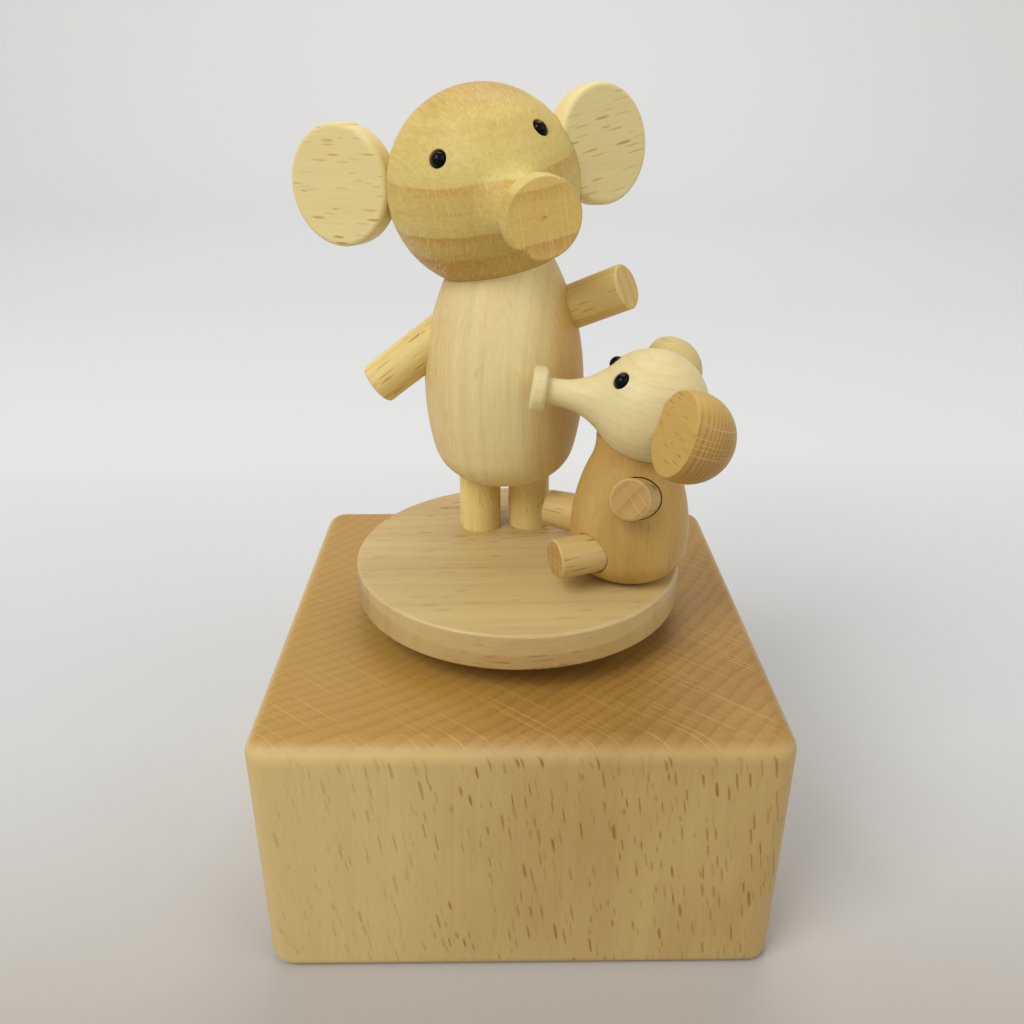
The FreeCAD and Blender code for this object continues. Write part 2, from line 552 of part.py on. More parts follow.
def ring_of(body, feature, count):
    pattern = body.newObject("PartDesign::PolarPattern", "Ring")
    pattern.Originals = [feature]
    pattern.Axis = (origin_feature(body, "Z_Axis"), [""])
    pattern.Angle = FULL_TURN
    bind(pattern, {"Occurrences": count})
    body.Tip = pattern


def tooth_ring(body, teeth, module, share, width, z="0"):
    """A gear's disc and teeth about the body's Z axis, with one tooth along +X."""
    root = f"({teeth} * {module} / 2 - tooth_root * {module})"
    tip = f"({teeth} * {module} / 2 + tooth_height * {module})"
    half = f"({share} * pi * {module} / 2)"
    post(body, root, width, z=z)
    sketch = new_sketch(body, "XY_Plane", z)
    sunk = f"{root} - tooth_sink * {module}"
    draw(sketch, [
        (sunk, f"-{half} * root_taper"),
        (tip, f"-{half} * tip_taper"),
        (tip, f"{half} * tip_taper"),
        (sunk, f"{half} * root_taper"),
    ])
    tooth = body.newObject("PartDesign::Pad", "Tooth")
    tooth.Profile = sketch
    bind(tooth, {"Length": width})
    ring_of(body, tooth, teeth)


def copies(label, places_of_origins, make):
    """A node made of one solid at each place, all of them alike."""
    solids = []
    for place in places_of_origins:
        body = new_body("Copy", place)
        pieces.remove(body)
        make(body)
        solids.append(body)
    group = doc.addObject("Part::Compound", label)
    group.Label = label
    group.Links = solids
    pieces.append(group)


def screws(label, kind, length, tips):
    """Slotted screws with their heads below and their shanks up from given places."""
    head, head_height = f"{kind}_screw_head_radius", f"{kind}_screw_head_height"

    def make(body):
        post(body, f"{kind}_screw_radius", length)
        post(body, head, head_height, z=f"-{head_height}")
        trench(body, f"2 * {head}", "slot_width", "slot_depth",
               f"-{head}", "-slot_width / 2", f"-{head_height}")
    copies(label, [Placement(tip, Rotation()) for tip in tips], make)


def along_x(x, y, z, turn=0):
    """A place whose own Z points along +X, turned about it by some degrees."""
    return Placement(Vector(x, y, z), LEVEL.multiply(Rotation(ABOUT_Z, turn)))


def tooth_towards(angle):
    """The turn that points a level gear's first tooth at an angle from +Y towards +Z."""
    return QUARTER_TURN + angle


def space_towards(angle, teeth):
    """The same for the space beside that tooth."""
    return tooth_towards(angle) + HALF_TURN / size(teeth)


def pointing(azimuth, elevation):
    turn, rise = math.radians(azimuth), math.radians(elevation)
    return Vector(math.cos(rise) * math.cos(turn), math.cos(rise) * math.sin(turn), math.sin(rise))


def around(radius, angle, z):
    return Vector(radius * math.cos(math.radians(angle)), radius * math.sin(math.radians(angle)), z)


# Where the fasteners sit
pillar_angles = [size("pillar_first_angle") + i * size("pillar_angle_step") for i in range(3)]
pillars = [around(size("pillar_circle"), angle, size("ear_top")) for angle in pillar_angles]
mount_tips = [
    Vector(x, y, size("bedplate_under"))
    for x in (-size("mount_left"), size("mount_right"))
    for y in (-size("mount_depth"), size("mount_depth"))
]
cover_tips = [
    Vector(x, y, size("cover_screw_z"))
    for x in (-size("cover_screw_x"), size("cover_screw_x"))
    for y in (-size("cover_screw_y"), size("cover_screw_y"))
]
comb_under = size("cylinder_z") - size("comb_thickness") / 2
comb_screw_x = size("comb_left") + size("comb_width") / 2
comb_tips = [
    Vector(comb_screw_x + side * size("comb_screw_spacing") / 2, -size("comb_middle"), comb_under)
    for side in (-1, 1)
]
bearing_tip = Vector(size("bearing_screw_x"), size("bearing_screw_y"),
                     size("bedplate_under") - size("bearing_foot_thickness"))
frame_tips = [
    spot("frame_screw_front_x", "frame_screw_front_y", "frame_under"),
    spot("frame_screw_back_x", "frame_screw_back_y", "frame_under"),
]


def drill(body, radius, height, tips):
    """The same hole upwards from each of some places."""
    for tip in tips:
        bore(body, radius, height, turned=body.Placement.inverse().multiply(Placement(tip, Rotation())))


# Wooden block with its cavity, cover recess, stem hole and screw holes
block = new_body("block")
slab(block, "block_side", "block_side", "block_height", "-block_side / 2", "-block_side / 2")
ease(block, "block_corner_radius", upright)
ease(block, "block_top_rounding", level_at(size("block_height")))
ease(block, "block_base_rounding", level_at(0))
trench(block, "cavity_left + cavity_right", "2 * cavity_half_depth", "ceiling_z",
       "-cavity_left", "-cavity_half_depth")
ease(block, "cavity_corner_radius", standing_at(
    (-size("cavity_left"), size("cavity_right")),
    (-size("cavity_half_depth"), size("cavity_half_depth"))))
trench(block, "2 * recess_half", "2 * recess_half", "cover_thickness", "-recess_half", "-recess_half")
ease(block, "cover_corner_radius", standing_at(
    (-size("recess_half"), size("recess_half")),
    (-size("recess_half"), size("recess_half"))))
bore(block, "stem_opening_radius", "block_height")
drill(block, "wood_screw_radius + fit_gap", "bedplate_thickness + mount_screw_length + fit_gap", mount_tips)
drill(block, "wood_screw_radius + fit_gap", "cover_screw_length + fit_gap", cover_tips)

# Cover let into the underside, with sunk screws
bottom_cover = new_body("bottom_cover")
slab(bottom_cover, "2 * cover_half", "2 * cover_half", "cover_thickness", "-cover_half", "-cover_half")
ease(bottom_cover, "cover_corner_radius", upright)
for tip in cover_tips:
    under = Placement(Vector(tip.x, tip.y, 0), Rotation())
    bore(bottom_cover, "wood_screw_radius + running_gap", "cover_thickness", turned=under)
    bore(bottom_cover, "wood_screw_head_radius + running_gap", "cover_screw_z", turned=under)
screws("cover_screws", "wood", "cover_screw_length", cover_tips)

# Cast bedplate under the ceiling, with the comb's pad and the cylinder's far bearing
bedplate = new_body("bedplate")
slab(bedplate, "bedplate_left + bedplate_right", "2 * bedplate_half_depth", "bedplate_thickness",
     "-bedplate_left", "-bedplate_half_depth", "bedplate_under")
ease(bedplate, "bedplate_corner_radius", upright)
slab(bedplate, "comb_width", "comb_base_depth - comb_pad_setback",
     "ceiling_z - cylinder_z - comb_thickness / 2",
     "comb_left", "-comb_front", "cylinder_z + comb_thickness / 2")
slab(bedplate, "lug_thickness", "lug_width", "ceiling_z - cylinder_z + lug_reach",
     "lug_left", "-lug_width / 2", "cylinder_z - lug_reach")
bore(bedplate, "arbor_radius + running_gap", "lug_thickness",
     turned=along_x(size("lug_left"), 0, size("cylinder_z")))
bore(bedplate, "stem_radius + running_gap", "bedplate_thickness", z="bedplate_under")
drill(bedplate, "pillar_spigot_radius + fit_gap", "pillar_height + pillar_spigot_length + fit_gap", pillars)
drill(bedplate, "wood_screw_radius + running_gap", "bedplate_thickness", mount_tips)
for tips in (comb_tips, [bearing_tip], frame_tips):
    drill(bedplate, "machine_screw_radius + fit_gap", "machine_screw_length + fit_gap", tips)
screws("mount_screws", "wood", "bedplate_thickness + mount_screw_length", mount_tips)

# Cup round the mainspring, hung from three pillars, with the stem's lower bearing
spring_housing = new_body("spring_housing")
post(spring_housing, "housing_radius", "housing_depth", z="housing_end")
bore(spring_housing, "housing_bore", "housing_depth - housing_wall", z="housing_end + housing_wall")
post(spring_housing, "housing_bearing_radius", "housing_bearing_height", z="housing_end")
for angle, pillar in zip(pillar_angles, pillars):
    turn = Rotation(ABOUT_Z, angle)
    ear_under = size("ear_top") - size("housing_ear_thickness")
    start = size("housing_radius") - size("housing_wall") / 2
    corner = Vector(start, -size("housing_ear_width") / 2, ear_under)
    slab(spring_housing, "pillar_circle - housing_radius + housing_wall / 2", "housing_ear_width",
         "housing_ear_thickness", turned=Placement(turn.multVec(corner), turn))
    eye = Placement(Vector(pillar.x, pillar.y, ear_under), Rotation())
    post(spring_housing, "housing_ear_width / 2", "housing_ear_thickness", turned=eye)
    bore(spring_housing, "machine_screw_radius + running_gap", "housing_ear_thickness", turned=eye)
bore(spring_housing, "stem_radius + running_gap", "housing_bearing_height", z="housing_end")


def pillar_shape(body):
    post(body, "pillar_radius", "pillar_height")
    post(body, "pillar_spigot_radius", "pillar_spigot_length", z="pillar_height")
    bore(body, "machine_screw_radius + fit_gap", "machine_screw_length - housing_ear_thickness + fit_gap")


copies("housing_pillars", [Placement(pillar, Rotation()) for pillar in pillars], pillar_shape)
screws("housing_screws", "machine", "machine_screw_length",
       [pillar - Vector(0, 0, size("housing_ear_thickness")) for pillar in pillars])


def spiral_strip():
    """Half turns whose centres alternate, widening by half a pitch each time."""
    pitch, half_strip = size("spring_pitch"), size("spring_strip") / 2
    outermost = size("housing_bore") - size("fit_gap") - half_strip
    count = int(size("spring_half_turns"))
    outer, inner = [], []
    for i in range(count):
        radius = outermost - (count - 1 - i) * pitch / 2
        upper = i % 2 == (count - 1) % 2
        middle = Vector(0 if upper else pitch / 2, 0, 0)
        side = 1 if upper else -1
        for path, reach in ((outer, radius + half_strip), (inner, radius - half_strip)):
            ends = [middle + Vector(side * reach, 0, 0), middle + Vector(0, side * reach, 0),
                    middle - Vector(side * reach, 0, 0)]
            path.append(Part.Arc(*ends).toShape())
    closing = [
        Part.LineSegment(outer[end].Vertexes[end].Point, inner[end].Vertexes[end].Point).toShape()
        for end in (0, -1)
    ]
    outline = Part.Wire(Part.__sortEdges__(outer + inner + closing))
    return Part.Face(outline).extrude(Vector(0, 0, size("spring_width")))


def shaped(label, shape, place=Placement()):
    piece = doc.addObject("Part::Feature", label)
    piece.Label = label
    piece.Shape = shape
    piece.Placement = place
    pieces.append(piece)


spring_z = size("housing_end") + size("housing_bearing_height") + size("spring_gap")
shaped("mainspring", spiral_strip(), Placement(Vector(0, 0, spring_z), Rotation()))

# Stem, drive wheel and click spring
winding_stem = new_body("winding_stem")
post(winding_stem, "stem_radius", "stem_top - stem_bottom", z="stem_bottom")
post(winding_stem, "stem_collar_radius", "stem_collar_height", z="click_under - fit_gap - stem_collar_height")

drive_wheel = new_body("drive_wheel")
post(drive_wheel, "crown_radius + crown_face / 2 + crown_rim", "drive_wheel_web", z="drive_wheel_under")
bore(drive_wheel, "stem_radius + fit_gap", "drive_wheel_web", z="drive_wheel_under")
crown_half = "(tooth_share * pi * crown_module / 2)"
crown_root = "drive_wheel_under + tooth_sink * crown_module"
crown_tip = "drive_wheel_under - (tooth_root + tooth_height) * crown_module"
crown_sketch = new_sketch(drive_wheel, "YZ_Plane", "gear_left")
draw(crown_sketch, [
    (f"-{crown_half} * root_taper", crown_root),
    (f"-{crown_half} * tip_taper", crown_tip),
    (f"{crown_half} * tip_taper", crown_tip),
    (f"{crown_half} * root_taper", crown_root),
])
crown_tooth = drive_wheel.newObject("PartDesign::Pad", "Tooth")
crown_tooth.Profile = crown_sketch
bind(crown_tooth, {"Length": "crown_face"})
ring_of(drive_wheel, crown_tooth, "crown_teeth")

click_spring = new_body("click_spring")
post(click_spring, "click_hub_radius", "click_thickness", z="click_under")
click_corner = Vector(0, -size("click_arm_width") / 2, size("click_under"))
click_arms = int(size("click_arm_count"))
for arm in range(click_arms):
    turn = Rotation(ABOUT_Z, arm * FULL_TURN / click_arms)
    slab(click_spring, "click_arm_length", "click_arm_width", "click_thickness",
         turned=Placement(turn.multVec(click_corner), turn))
bore(click_spring, "stem_radius + fit_gap", "click_thickness", z="click_under")

# Turntable and its hub
turntable_disc = new_body("turntable_disc")
post(turntable_disc, "disc_radius", "disc_thickness", z="disc_under")
ease(turntable_disc, "disc_edge_rounding", rim_of(size("disc_radius")))
bore(turntable_disc, "hub_boss_radius + fit_gap", "hub_boss_height + fit_gap", z="disc_under")
for side in ("left", "right"):
    bore(turntable_disc, "limb_radius + fit_gap", "leg_seat",
         f"elephant_x + elephant_{side}_leg_x", f"elephant_y + elephant_{side}_leg_y",
         "disc_top - leg_seat")

turntable_hub = new_body("turntable_hub")
post(turntable_hub, "hub_flange_radius", "hub_flange_thickness", z="disc_under - hub_flange_thickness")
post(turntable_hub, "hub_boss_radius", "hub_boss_height", z="disc_under")
bore(turntable_hub, "stem_radius + fit_gap", "hub_flange_thickness + hub_boss_height",
     z="disc_under - hub_flange_thickness")

# Bracket that carries the cylinder's drive end
gear_end_bearing = new_body("gear_end_bearing")
slab(gear_end_bearing, "bearing_plate_thickness", "bearing_arm_front + bearing_arm_back",
     "bearing_arm_height", "bearing_plate_left", "-bearing_arm_front", "cylinder_z - bearing_arm_height / 2")
slab(gear_end_bearing, "bearing_plate_thickness", "bearing_post_width", "bedplate_under - cylinder_z",
     "bearing_plate_left", "-bearing_arm_front", "cylinder_z")
slab(gear_end_bearing, "bearing_foot_length", "bearing_post_width", "bearing_foot_thickness",
     "bearing_plate_left", "-bearing_arm_front", "bedplate_under - bearing_foot_thickness")
bore(gear_end_bearing, "arbor_radius + running_gap", "bearing_plate_thickness",
     turned=along_x(size("bearing_plate_left"), 0, size("cylinder_z")))
drill(gear_end_bearing, "machine_screw_radius + running_gap", "bearing_foot_thickness", [bearing_tip])
screws("bearing_screw", "machine", "machine_screw_length", [bearing_tip])

# Cylinder with its pins, arbor and two gears
pin_inner = size("cylinder_bore") + size("fit_gap")


def pin_cylinders(radius, inner, outer):
    """One short rod for each pin, from an inner to an outer distance from the axis."""
    rods = []
    for row in range(int(size("pin_rows"))):
        x = size("first_row_x") + row * size("row_pitch")
        for pin in range(int(size("pins_in_row"))):
            angle = row * size("pin_row_turn") + pin * FULL_TURN / size("pins_in_row")
            out = around(1, angle, 0)
            out = Vector(0, out.x, out.y)
            start = Vector(x, 0, size("cylinder_z")) + out * inner
            rods.append(Part.makeCylinder(radius, outer - inner, start, out))
    return Part.makeCompound(rods)


tube = doc.addObject("Part::Cylinder", "Tube")
tube.Placement = along_x(size("cylinder_left"), 0, size("cylinder_z"))
bind(tube, {"Radius": "cylinder_radius", "Height": "cylinder_length"})
tube_bore = doc.addObject("Part::Cylinder", "TubeBore")
tube_bore.Placement = tube.Placement
bind(tube_bore, {"Radius": "cylinder_bore", "Height": "cylinder_length"})
pin_holes = doc.addObject("Part::Feature", "PinHoles")
pin_holes.Shape = pin_cylinders(size("pin_radius") + size("fit_gap"), size("cylinder_bore") / 2,
                                size("cylinder_radius") + size("pin_height"))
plain_tube = doc.addObject("Part::Cut", "PlainTube")
plain_tube.Base = tube
plain_tube.Tool = tube_bore
cylinder = doc.addObject("Part::Cut", "cylinder")
cylinder.Label = "cylinder"
cylinder.Base = plain_tube
cylinder.Tool = pin_holes
pieces.append(cylinder)
pin_outer = size("cylinder_radius") + size("pin_height")
shaped("cylinder_pins", pin_cylinders(size("pin_radius"), pin_inner, pin_outer))

arbor_start = size("bearing_plate_left") + size("pivot_gap")
cylinder_arbor = new_body("cylinder_arbor", along_x(arbor_start, 0, size("cylinder_z")))
post(cylinder_arbor, "arbor_radius", "lug_right - bearing_plate_left - 2 * pivot_gap")

gear_turn = space_towards(QUARTER_TURN, "cylinder_gear_teeth")
cylinder_gear = new_body("cylinder_gear", along_x(size("gear_left"), 0, size("cylinder_z"), gear_turn))
tooth_ring(cylinder_gear, "cylinder_gear_teeth", "crown_module", "leaf_share", "crown_face")
post(cylinder_gear, "cylinder_bore - fit_gap", "cylinder_left - gear_right + cylinder_boss_length",
     z="crown_face")
bore(cylinder_gear, "arbor_radius + fit_gap", "cylinder_left - gear_left + cylinder_boss_length")

timing_turn = tooth_towards(size("first_angle"))
timing_start = size("cylinder_right") - size("cylinder_boss_length")
timing_wheel = new_body("timing_wheel", along_x(timing_start, 0, size("cylinder_z"), timing_turn))
tooth_ring(timing_wheel, "timing_teeth", "timing_module", "tooth_share", "timing_width",
           "cylinder_boss_length + timing_gap")
post(timing_wheel, "cylinder_bore - fit_gap", "cylinder_boss_length + timing_gap")
bore(timing_wheel, "arbor_radius + fit_gap", "cylinder_boss_length + timing_gap + timing_width")

# Comb under its pad, its tips short of the pins
comb = new_body("comb", Placement(Vector(0, 0, comb_under), Rotation()))
slab(comb, "comb_width", "comb_base_depth", "comb_thickness", "comb_left", "-comb_front")
slab(comb, "pin_rows * row_pitch - comb_slot", "comb_tooth_length", "comb_thickness",
     "comb_left + comb_margin + comb_slot / 2", "-comb_root")
slot = trench(comb, "comb_slot", "comb_tooth_length", "comb_thickness",
              "comb_left + comb_margin + row_pitch - comb_slot / 2", "-comb_root")
slots = comb.newObject("PartDesign::LinearPattern", "Slots")
slots.Originals = [slot]
slots.Direction = (origin_feature(comb, "X_Axis"), [""])
bind(slots, {"Length": "(pin_rows - 2) * row_pitch", "Occurrences": "pin_rows - 1"})
comb.Tip = slots
drill(comb, "machine_screw_radius + running_gap", "comb_thickness", comb_tips)
screws("comb_screws", "machine", "machine_screw_length", comb_tips)

# Governor: frame, two arbors with their wheels, worm and fly
governor_frame = new_body("governor_frame")
slab(governor_frame, "frame_width", "frame_depth", "frame_wall",
     "frame_left", "frame_front", "frame_under")
slab(governor_frame, "frame_wall", "frame_depth", "frame_drop",
     "frame_left", "frame_front", "frame_foot")
slab(governor_frame, "frame_wall", "second_y + frame_cheek_reach - frame_front",
     "bedplate_under - first_z + frame_cheek_reach",
     "frame_right - frame_wall", "frame_front", "first_z - frame_cheek_reach")
slab(governor_frame, "worm_x + frame_arm_half_width - frame_left", "2 * frame_arm_half_width",
     "frame_arm_thickness", "frame_left", "worm_y - frame_arm_half_width", "frame_foot")
for y, z in (("first_y", "first_z"), ("second_y", "second_z")):
    bore(governor_frame, "train_arbor_radius + running_gap", "frame_width",
         turned=along_x(size("frame_left"), size(y), size(z)))
bore(governor_frame, "train_arbor_radius + running_gap", "frame_drop", "worm_x", "worm_y", "frame_foot")
drill(governor_frame, "machine_screw_radius + running_gap", "frame_wall", frame_tips)
screws("governor_screws", "machine", "machine_screw_length", frame_tips)

train_start = size("frame_left") + size("pivot_gap")
first_turn = space_towards(HALF_TURN + size("first_angle"), "first_pinion_teeth")
governor_first_pinion = new_body(
    "governor_first_pinion", along_x(train_start, size("first_y"), size("first_z"), first_turn))
post(governor_first_pinion, "train_arbor_radius", "frame_width - 2 * pivot_gap")
tooth_ring(governor_first_pinion, "first_pinion_teeth", "timing_module", "leaf_share",
           "first_pinion_width",
           "timing_left + (timing_width - first_pinion_width) / 2 - frame_left - pivot_gap")

wheel_turn = tooth_towards(size("second_angle"))
governor_first_wheel = new_body(
    "governor_first_wheel", along_x(size("first_wheel_left"), size("first_y"), size("first_z"), wheel_turn))
tooth_ring(governor_first_wheel, "first_wheel_teeth", "train_module", "tooth_share", "first_wheel_width")
bore(governor_first_wheel, "train_arbor_radius + fit_gap", "first_wheel_width")

second_turn = space_towards(HALF_TURN + size("second_angle"), "second_pinion_teeth")
governor_second_pinion = new_body(
    "governor_second_pinion", along_x(train_start, size("second_y"), size("second_z"), second_turn))
post(governor_second_pinion, "train_arbor_radius", "frame_width - 2 * pivot_gap")
tooth_ring(governor_second_pinion, "second_pinion_teeth", "train_module", "leaf_share",
           "second_pinion_width",
           "first_wheel_left + (first_wheel_width - second_pinion_width) / 2 - frame_left - pivot_gap")

worm_wheel_start = size("worm_x") - size("worm_wheel_width") / 2
worm_wheel_turn = space_towards(0, "worm_wheel_teeth")
worm_wheel = new_body(
    "worm_wheel", along_x(worm_wheel_start, size("second_y"), size("second_z"), worm_wheel_turn))
tooth_ring(worm_wheel, "worm_wheel_teeth", "worm_module", "tooth_share", "worm_wheel_width")
bore(worm_wheel, "train_arbor_radius + fit_gap", "worm_wheel_width")


def worm_shape():
    """Arbor, core and one right-hand thread, the thread's middle facing the worm wheel."""
    module, turns = size("worm_module"), size("worm_turns")
    pitch = math.pi * module
    core_radius = size("worm_pitch_radius") - size("tooth_root") * module
    crest_radius = size("worm_pitch_radius") + size("tooth_height") * module
    thread_foot = size("second_z") - turns * pitch / 2
    arbor_foot = size("frame_foot") + size("pivot_gap")
    arbor_length = size("frame_drop") - 2 * size("pivot_gap")
    arbor = Part.makeCylinder(size("train_arbor_radius"), arbor_length, Vector(0, 0, arbor_foot))
    core = Part.makeCylinder(core_radius, (turns + 1) * pitch, Vector(0, 0, thread_foot - pitch / 2))
    half = size("worm_thread_share") * pitch / 2
    sunk = core_radius - size("tooth_sink") * module
    corners = [
        Vector(sunk, 0, -half * size("root_taper")), Vector(crest_radius, 0, -half * size("tip_taper")),
        Vector(crest_radius, 0, half * size("tip_taper")), Vector(sunk, 0, half * size("root_taper")),
    ]
    profile = Part.makePolygon(corners + corners[:1])
    path = Part.Wire(Part.makeHelix(pitch, turns * pitch, core_radius).Edges)
    thread = path.makePipeShell([profile], True, True)
    thread.rotate(Vector(0, 0, 0), ABOUT_Z, -QUARTER_TURN - HALF_TURN * turns)
    thread.translate(Vector(0, 0, thread_foot))
    return arbor.fuse(core).fuse(thread).removeSplitter()


shaped("worm", worm_shape(), Placement(Vector(size("worm_x"), size("worm_y"), 0), Rotation()))

fly = new_body("fly", Placement(spot("worm_x", "worm_y", "fly_z"), Rotation()))
post(fly, "fly_hub_radius", "fly_height")
slab(fly, "2 * fly_half_width", "fly_thickness", "fly_height", "-fly_half_width", "-fly_thickness / 2")
bore(fly, "train_arbor_radius + fit_gap", "fly_height")


def arc_through(sketch, centre, radius, start, end):
    """An arc about a centre, counter-clockwise from one direction to another."""
    circle = Part.Circle(centre, ABOUT_Z, radius)
    return sketch.addGeometry(Part.ArcOfCircle(circle, start, end), False)


def spun(body, sketch):
    turning = body.newObject("PartDesign::Revolution", "Turning")
    turning.Profile = sketch
    turning.ReferenceAxis = (sketch, ["V_Axis"])
    turning.Angle = FULL_TURN


def turned_body(name):
    """A lathe-turned body: flat foot, rounded lower edge, one long curve and a straight collar."""
    body = new_body(f"{name}_body", Placement(foot_of(name), Rotation()))
    widest, side = size(f"{name}_body_radius"), size(f"{name}_body_side_radius")
    foot, height = size(f"{name}_body_foot_radius"), size(f"{name}_body_height")
    side_middle = Vector(widest - side, size(f"{name}_body_widest"), 0)
    foot_x = side_middle.x + math.sqrt((side - foot) ** 2 - (side_middle.y - foot) ** 2)
    foot_middle = Vector(foot_x, foot, 0)
    meeting = math.atan2(foot - side_middle.y, foot_x - side_middle.x)
    shoulder = size(f"{name}_body_shoulder")
    top_angle = math.asin((shoulder - side_middle.y) / side)
    top_x = side_middle.x + side * math.cos(top_angle)
    sketch = new_sketch(body, "XZ_Plane")
    base = sketch.addGeometry(Part.LineSegment(Vector(0, 0, 0), Vector(foot_x, 0, 0)), False)
    lower = arc_through(sketch, foot_middle, foot, -math.pi / 2, meeting)
    flank = arc_through(sketch, side_middle, side, meeting, top_angle)
    collar = sketch.addGeometry(Part.LineSegment(Vector(top_x, shoulder, 0), Vector(top_x, height, 0)), False)
    top = sketch.addGeometry(Part.LineSegment(Vector(top_x, height, 0), Vector(0, height, 0)), False)
    axis = sketch.addGeometry(Part.LineSegment(Vector(0, height, 0), Vector(0, 0, 0)), False)
    for constraint in (
        ("Coincident", base, 1, -1, 1), ("Horizontal", base), ("Tangent", base, 2, lower, 1),
        ("Tangent", lower, 2, flank, 1), ("Coincident", flank, 2, collar, 1), ("Vertical", collar),
        ("Coincident", collar, 2, top, 1), ("Horizontal", top),
        ("Coincident", top, 2, axis, 1), ("PointOnObject", top, 2, -2), ("Coincident", axis, 2, base, 1),
    ):
        sketch.addConstraint(Sketcher.Constraint(*constraint))
    for constraint, expression in (
        (("Radius", lower, foot), f"{name}_body_foot_radius"),
        (("Radius", flank, side), f"{name}_body_side_radius"),
        (("DistanceX", -1, 1, flank, 3, side_middle.x), f"{name}_body_radius - {name}_body_side_radius"),
        (("DistanceY", -1, 1, flank, 3, side_middle.y), f"{name}_body_widest"),
        (("DistanceY", -1, 1, collar, 1, shoulder), f"{name}_body_shoulder"),
        (("DistanceY", -1, 1, top, 2, height), f"{name}_body_height"),
    ):
        number = sketch.addConstraint(Sketcher.Constraint(*constraint))
        bind(sketch, {f"Constraints[{number}]": expression})
    spun(body, sketch)
    ease(body, f"{name}_body_collar_blend", level_at(shoulder))
    return body


def turned_head(name):
    """A ball with its trunk in one turning: hollow curve, thin neck and end flange."""
    body = new_body(f"{name}_head", facing(head_middle(name), f"{name}_trunk")[0])
    ball, flare = size(f"{name}_head_radius"), size(f"{name}_trunk_flare_radius")
    neck, flange = size(f"{name}_trunk_neck_radius"), size(f"{name}_trunk_flange_radius")
    length, width = size(f"{name}_trunk_length"), size(f"{name}_trunk_flange_width")
    flare_middle = Vector(neck + flare, math.sqrt((ball + flare) ** 2 - (neck + flare) ** 2), 0)
    meeting = math.atan2(flare_middle.y, flare_middle.x)
    sketch = new_sketch(body, "XZ_Plane")
    round_face = arc_through(sketch, Vector(0, 0, 0), ball, -math.pi / 2, meeting)
    hollow = arc_through(sketch, flare_middle, flare, math.pi, meeting + math.pi)
    corners = [
        Vector(neck, flare_middle.y, 0), Vector(neck, length - width, 0), Vector(flange, length - width, 0),
        Vector(flange, length, 0), Vector(0, length, 0), Vector(0, -ball, 0),
    ]
    lines = [sketch.addGeometry(Part.LineSegment(*pair), False) for pair in zip(corners, corners[1:])]
    thin, step, rim, face, axis = lines
    for constraint in (
        ("Coincident", round_face, 3, -1, 1), ("Tangent", round_face, 2, hollow, 2),
        ("Tangent", hollow, 1, thin, 1), ("Vertical", thin), ("Coincident", thin, 2, step, 1),
        ("Horizontal", step), ("Coincident", step, 2, rim, 1), ("Vertical", rim),
        ("Coincident", rim, 2, face, 1), ("Horizontal", face), ("Coincident", face, 2, axis, 1),
        ("PointOnObject", face, 2, -2), ("Coincident", axis, 2, round_face, 1),
        ("PointOnObject", round_face, 1, -2),
    ):
        sketch.addConstraint(Sketcher.Constraint(*constraint))
    for constraint, expression in (
        (("Radius", round_face, ball), f"{name}_head_radius"),
        (("Radius", hollow, flare), f"{name}_trunk_flare_radius"),
        (("DistanceX", -1, 1, thin, 2, neck), f"{name}_trunk_neck_radius"),
        (("DistanceY", -1, 1, thin, 2, length - width), f"{name}_trunk_length - {name}_trunk_flange_width"),
        (("DistanceX", -1, 1, rim, 2, flange), f"{name}_trunk_flange_radius"),
        (("DistanceY", -1, 1, face, 2, length), f"{name}_trunk_length"),
    ):
        number = sketch.addConstraint(Sketcher.Constraint(*constraint))
        bind(sketch, {f"Constraints[{number}]": expression})
    spun(body, sketch)
    ease(body, f"{name}_trunk_rounding", rim_of(flange))
    return body


def foot_of(name):
    """The middle of the foot of a figure's body."""
    stand = size("elephant_stand") if name == "elephant" else 0
    return Vector(size(f"{name}_x"), size(f"{name}_y"), size("disc_top") + stand)


def head_middle(name):
    return foot_of(name) + spot(f"{name}_head_x", f"{name}_head_y", f"{name}_head_height")


def facing(place, label):
    direction = pointing(size(f"{label}_azimuth"), size(f"{label}_elevation"))
    return Placement(place, Rotation(ABOUT_Z, direction)), direction


def beside(middle, label):
    """The place of a piece from its offset, and the direction that it faces."""
    return facing(middle + spot(f"{label}_x", f"{label}_y", f"{label}_height"), label)


def inside(body, place):
    """A place of the whole object, in a body's own coordinates."""
    return body.Placement.inverse().multiply(place)


def make_limb(label, name, torso, radius, length):
    """An arm or a leg, and the hole for it in the body."""
    end, direction = beside(foot_of(name), label)
    root = end.Base - direction * size(length)
    limb = new_body(label, Placement(root, end.Rotation))
    post(limb, radius, length)
    ease(limb, "limb_chamfer", rim_of(size(radius)), "Chamfer")
    hole = Placement(root - direction * size("fit_gap"), end.Rotation)
    bore(torso, f"{radius} + fit_gap", length, turned=inside(torso, hole))


